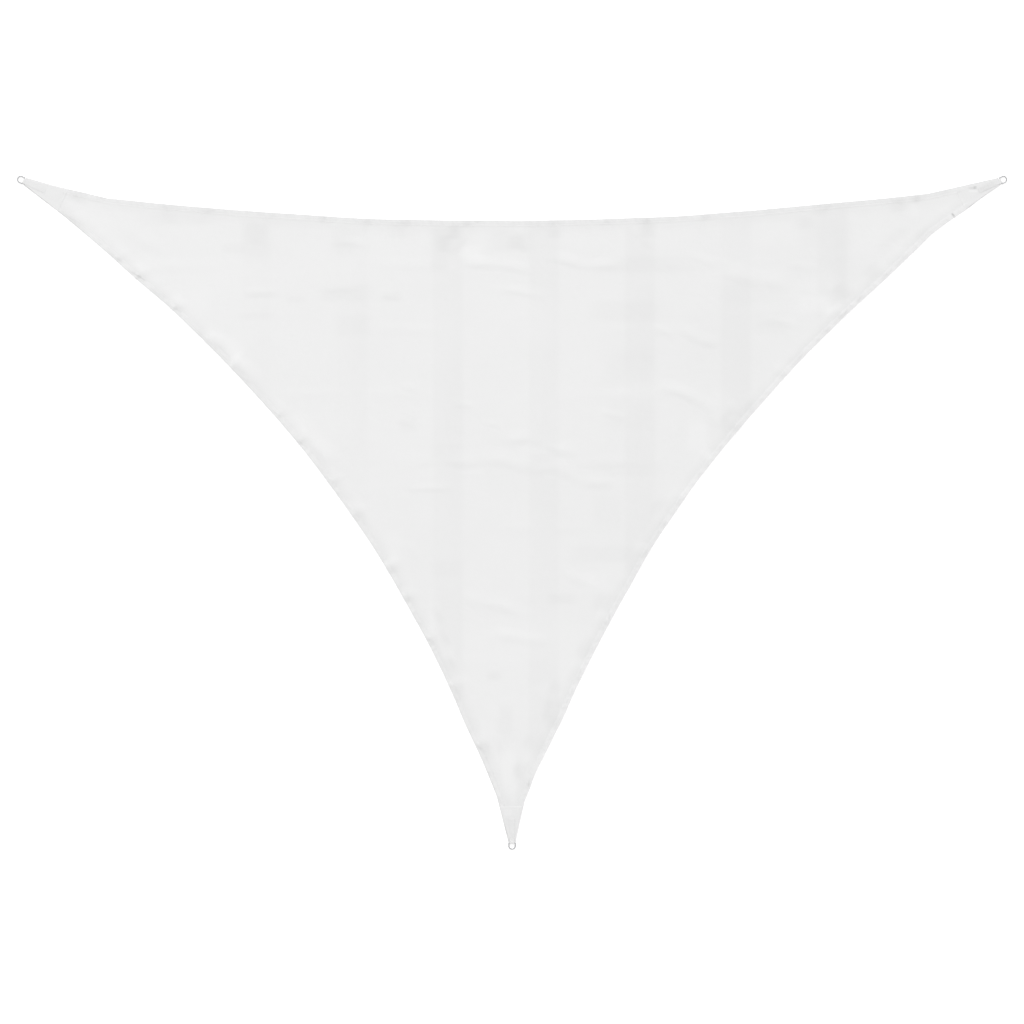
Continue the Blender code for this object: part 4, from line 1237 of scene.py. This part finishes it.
# ---- D rings
def ring_path():
    """Middle line of a D ring, as (distance outside its bar, place across): the bar with its two bends, then
    a straight leg and half a circle on each side."""
    half = 0.5 * (RING_WIDTH - RING_WIRE)
    bow_centre = RING_LENGTH - RING_WIRE - half
    turn = np.radians(np.linspace(0.0, 90.0, 9))
    bend = np.column_stack([RING_BEND * (1.0 - np.cos(turn)), half - RING_BEND * (1.0 - np.sin(turn))])
    leg = np.column_stack([np.linspace(RING_BEND, bow_centre, 6)[1:-1], np.full(4, half)])
    sweep = np.radians(np.linspace(90.0, -90.0, 41))
    bow = np.column_stack([bow_centre + half * np.cos(sweep), half * np.sin(sweep)])
    bar = np.column_stack([np.zeros(12), np.linspace(-half + RING_BEND, half - RING_BEND, 14)[1:-1]])
    mirror = np.array([1.0, -1.0])
    return np.vstack([bend, leg, bow, leg[::-1] * mirror, bend[::-1] * mirror, bar])


def make_ring(corner, finish):
    """The D ring: a round section carried round its closed line, with its weld, a slight swelling, in the
    middle of the bar under the tab."""
    path = ring_path()
    outward = -left_of(unit(np.roll(path, -1, axis=0) - np.roll(path, 1, axis=0)))
    marks = np.cumsum(np.linalg.norm(path - np.roll(path, 1, axis=0), axis=1))
    weld = 0.0003 * bump(path[:, 1] / 0.003) * (path[:, 0] < 0.001)
    turn = np.linspace(0.0, 2.0 * math.pi, WIRE_SIDES, endpoint=False)
    radius = (0.5 * RING_WIRE - 0.0001 + weld)[:, None]
    flat = path[:, None, :] + (radius * np.cos(turn))[..., None] * outward[:, None, :]
    slope = (0.5 * RING_WIRE - BAR_HEIGHT) / (RING_LENGTH - RING_WIRE)
    height = BAR_HEIGHT + slope * flat[..., 0] + radius * np.sin(turn)
    plan = corner.place + (BAR_OUT + flat[..., :1]) * corner.pull + flat[..., 1:] * corner.across
    points = np.concatenate([plan, height[..., None]], axis=2).reshape(-1, 3)
    lay = np.column_stack([np.repeat(marks, WIRE_SIDES), np.tile(turn, len(path)) * 0.5 * RING_WIRE])
    faces = tube_faces(len(path), WIRE_SIDES, clockwise=True, closed=True)
    made = add_piece(f"d_ring_{corner.name}", points, faces, finish, lay)
    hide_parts(f"ring_{corner.name}")
    return made


# ---- sewing
def stitch_run(line, pitch):
    """Middles and ways of stitches at every pitch along a line of points."""
    marks = path_marks(line)
    count = max(1, int(marks[-1] / pitch))
    at = (np.arange(count) + 0.5) * marks[-1] / count
    start, end = (path_at(at + step, marks, line) for step in (-0.3 * pitch, 0.3 * pitch))
    return 0.5 * (start + end), unit(end - start)


def add_stitches(name, lines, stitch, finish):
    """One thread capsule for each stitch: four rings of five points, thin at either end and pulled down."""
    pitch, length, radius = stitch
    runs = [stitch_run(line, pitch) for line in lines]
    middles, ways = (np.vstack([run[i] for run in runs]) for i in (0, 1))
    reach = np.array([-0.5, -0.3, 0.3, 0.5]).repeat(THREAD_SIDES) * length
    girth = np.array([0.45, 1.0, 1.0, 0.45]).repeat(THREAD_SIDES) * radius
    sink = np.array([-0.9, 0.0, 0.0, -0.9]).repeat(THREAD_SIDES) * radius
    turns = np.tile(np.linspace(0.0, 2.0 * math.pi, THREAD_SIDES, endpoint=False), 4)
    aside = unit(np.cross([0.0, 0.0, 1.0], ways))
    up = np.cross(ways, aside)
    points = (
        middles[:, None]
        + ways[:, None] * reach[:, None]
        + aside[:, None] * (girth * np.cos(turns))[:, None]
        + up[:, None] * (girth * np.sin(turns) + sink)[:, None]
    )
    first = np.arange(len(middles))[:, None, None] * 4 * THREAD_SIDES
    faces = [(block + first).reshape(-1, block.shape[1]) for block in tube_faces(4, THREAD_SIDES)]
    return add_piece(name, points.reshape(-1, 3), faces, finish)


def make_hem_stitches(finish):
    """Two rows of stitches along the hem's inner edge, each in its groove."""
    lines = []
    for edge in EDGES:
        along = np.linspace(HEM_SEAM_START, edge.length - HEM_SEAM_START, round(edge.length / 0.004))
        place, _, inward = edge.at(along)
        fits = hem_limit(edge, along) > HEM_WIDTH - 1e-6
        for inside in SEAM_ROWS:
            depth = np.full(len(along), inside)
            plan = place + inside * inward
            height = hem_height(edge, along, depth, plan) + hem_top(depth) + THREAD_LIFT
            lines.append(np.column_stack([plan, height])[fits])
    return add_stitches("hem_stitches", lines, HEM_STITCH, finish)


def make_patch_stitches(finish):
    """Two rows of stitches round each patch, 5 and 9 mm inside its edge."""
    lines = []
    for corner in CORNERS:
        for inset in PATCH_ROWS:
            distance = np.linspace(PATCH_START + inset, corner.patch_length - inset, 160)
            start, end = corner_chord(corner, distance, PATCH_INSET + inset)
            far = start[-1] + np.linspace(0.0, 1.0, 90)[:, None] * (end[-1] - start[-1])
            for plan in (start, end, far):
                lines.append(np.column_stack([plan, patch_seat(plan) + PATCH - THREAD_LIFT]))
    return add_stitches("patch_stitches", lines, PATCH_STITCH, finish)


def make_tab_stitches(finish):
    """A box of stitches with its cross on each tab, and a second, shorter box nearer the ring."""
    height = tab_path()[-1, 1] + 0.5 * WEBBING + THREAD_LIFT
    t = np.linspace(0.0, 1.0, 40)[:, None]
    lines = []
    for corner in CORNERS:
        for near, far in TAB_BOXES:
            places = [(near, -TAB_BOX_HALF), (far, -TAB_BOX_HALF), (far, TAB_BOX_HALF), (near, TAB_BOX_HALF)]
            a, b, c, d = (corner.place - x * corner.pull + y * corner.across for x, y in places)
            for start, end in ((a, b), (b, c), (c, d), (d, a), (a, c), (b, d)):
                lines.append(np.column_stack([start + t * (end - start), np.full(len(t), height)]))
    return add_stitches("tab_stitches", lines, TAB_STITCH, finish)


# ---- the studio
def make_floor():
    """A wide pale floor, just under the sail."""
    settings = {
        "Roughness": 0.9,
        "Specular IOR Level": 0.1,
        "Emission Color": (1.0, 1.0, 1.0, 1.0),
        "Emission Strength": FLOOR_GLOW,
    }
    finish, tree, sockets = new_finish("pale_floor", settings)
    grain = spread(tree, noise(tree, on_object(tree), 6.0, 4.0), 0.01, 0.985)
    paint(tree, sockets, (FLOOR_WHITE,) * 3, grain)
    ways = ((-1, -1), (1, -1), (1, 1), (-1, 1))
    points = [(x * FLOOR_REACH, y * FLOOR_REACH, FLOOR_LEVEL) for x, y in ways]
    add_object("floor", points, [(0, 1, 2, 3)], finish)


def make_light():
    """A white room that is brightest at its horizon, and one broad lamp from beyond the top edge."""
    world = bpy.data.worlds.new("white_room")
    world.use_nodes = True
    tree = world.node_tree
    tree.nodes.clear()
    way = wire(tree, "ShaderNodeTexCoord").outputs["Generated"]
    up = wire(tree, "ShaderNodeSeparateXYZ", {0: way}).outputs["Z"]
    levels = {"Value": up, "From Min": 0.0, "From Max": 0.7, "To Min": HORIZON, "To Max": ZENITH}
    strength = wire(tree, "ShaderNodeMapRange", levels).outputs[0]
    sky = wire(tree, "ShaderNodeBackground", {"Color": (1.0, 1.0, 1.0, 1.0), "Strength": strength})
    tree.links.new(sky.outputs[0], wire(tree, "ShaderNodeOutputWorld").inputs["Surface"])
    bpy.context.scene.world = world
    lamp = bpy.data.lights.new("broad_lamp", "AREA")
    lamp.shape = "DISK"
    lamp.size = LAMP_SIZE
    lamp.energy = LAMP_POWER
    made = bpy.data.objects.new("broad_lamp", lamp)
    bpy.context.scene.collection.objects.link(made)
    rise = math.radians(LAMP_RISE)
    way = np.array([*math.cos(rise) * bearing(LAMP_BEARING), math.sin(rise)])
    made.location = (LAMP_DISTANCE * way).tolist()
    made.rotation_euler = (math.radians(90.0) - rise, 0.0, math.radians(LAMP_BEARING + 90.0))


def make_camera():
    """A long lens straight above, so that the sail is seen face on."""
    camera = bpy.data.cameras.new("camera")
    camera.lens = LENS
    camera.sensor_width = SENSOR
    camera.clip_end = 200.0
    made = bpy.data.objects.new("camera", camera)
    bpy.context.scene.collection.objects.link(made)
    made.location = (VIEW_X, VIEW_Y, FRAME_WIDTH * LENS / SENSOR)
    bpy.context.scene.camera = made
    bpy.context.scene.view_settings.view_transform = "Standard"


# ---- the whole sail
def main():
    weave, crumple = weave_group(), crumple_group()
    cloth = cloth_finish("white_sailcloth", (CLOTH_WHITE,) * 3, weave, crumple, CLOTH_CRUMPLE)
    doubling = cloth_finish("white_doubling", (DOUBLING_WHITE,) * 3, weave, crumple, DOUBLING_CRUMPLE)
    webbing = webbing_finish("white_webbing", (WEBBING_WHITE,) * 3)
    thread = thread_finish("white_thread", (THREAD_WHITE,) * 3)
    steel = steel_finish("satin_steel", STEEL_GREY)

    sheet = make_sheet(cloth)
    hem = make_hem(cloth)
    hem_seams = make_hem_stitches(thread)
    patches = [make_patch(corner, doubling) for corner in CORNERS]
    patch_seams = make_patch_stitches(thread)
    tabs = [make_tab(corner, webbing) for corner in CORNERS]
    tab_seams = make_tab_stitches(thread)
    rings = [make_ring(corner, steel) for corner in CORNERS]

    make_floor()
    make_light()
    make_camera()


main()
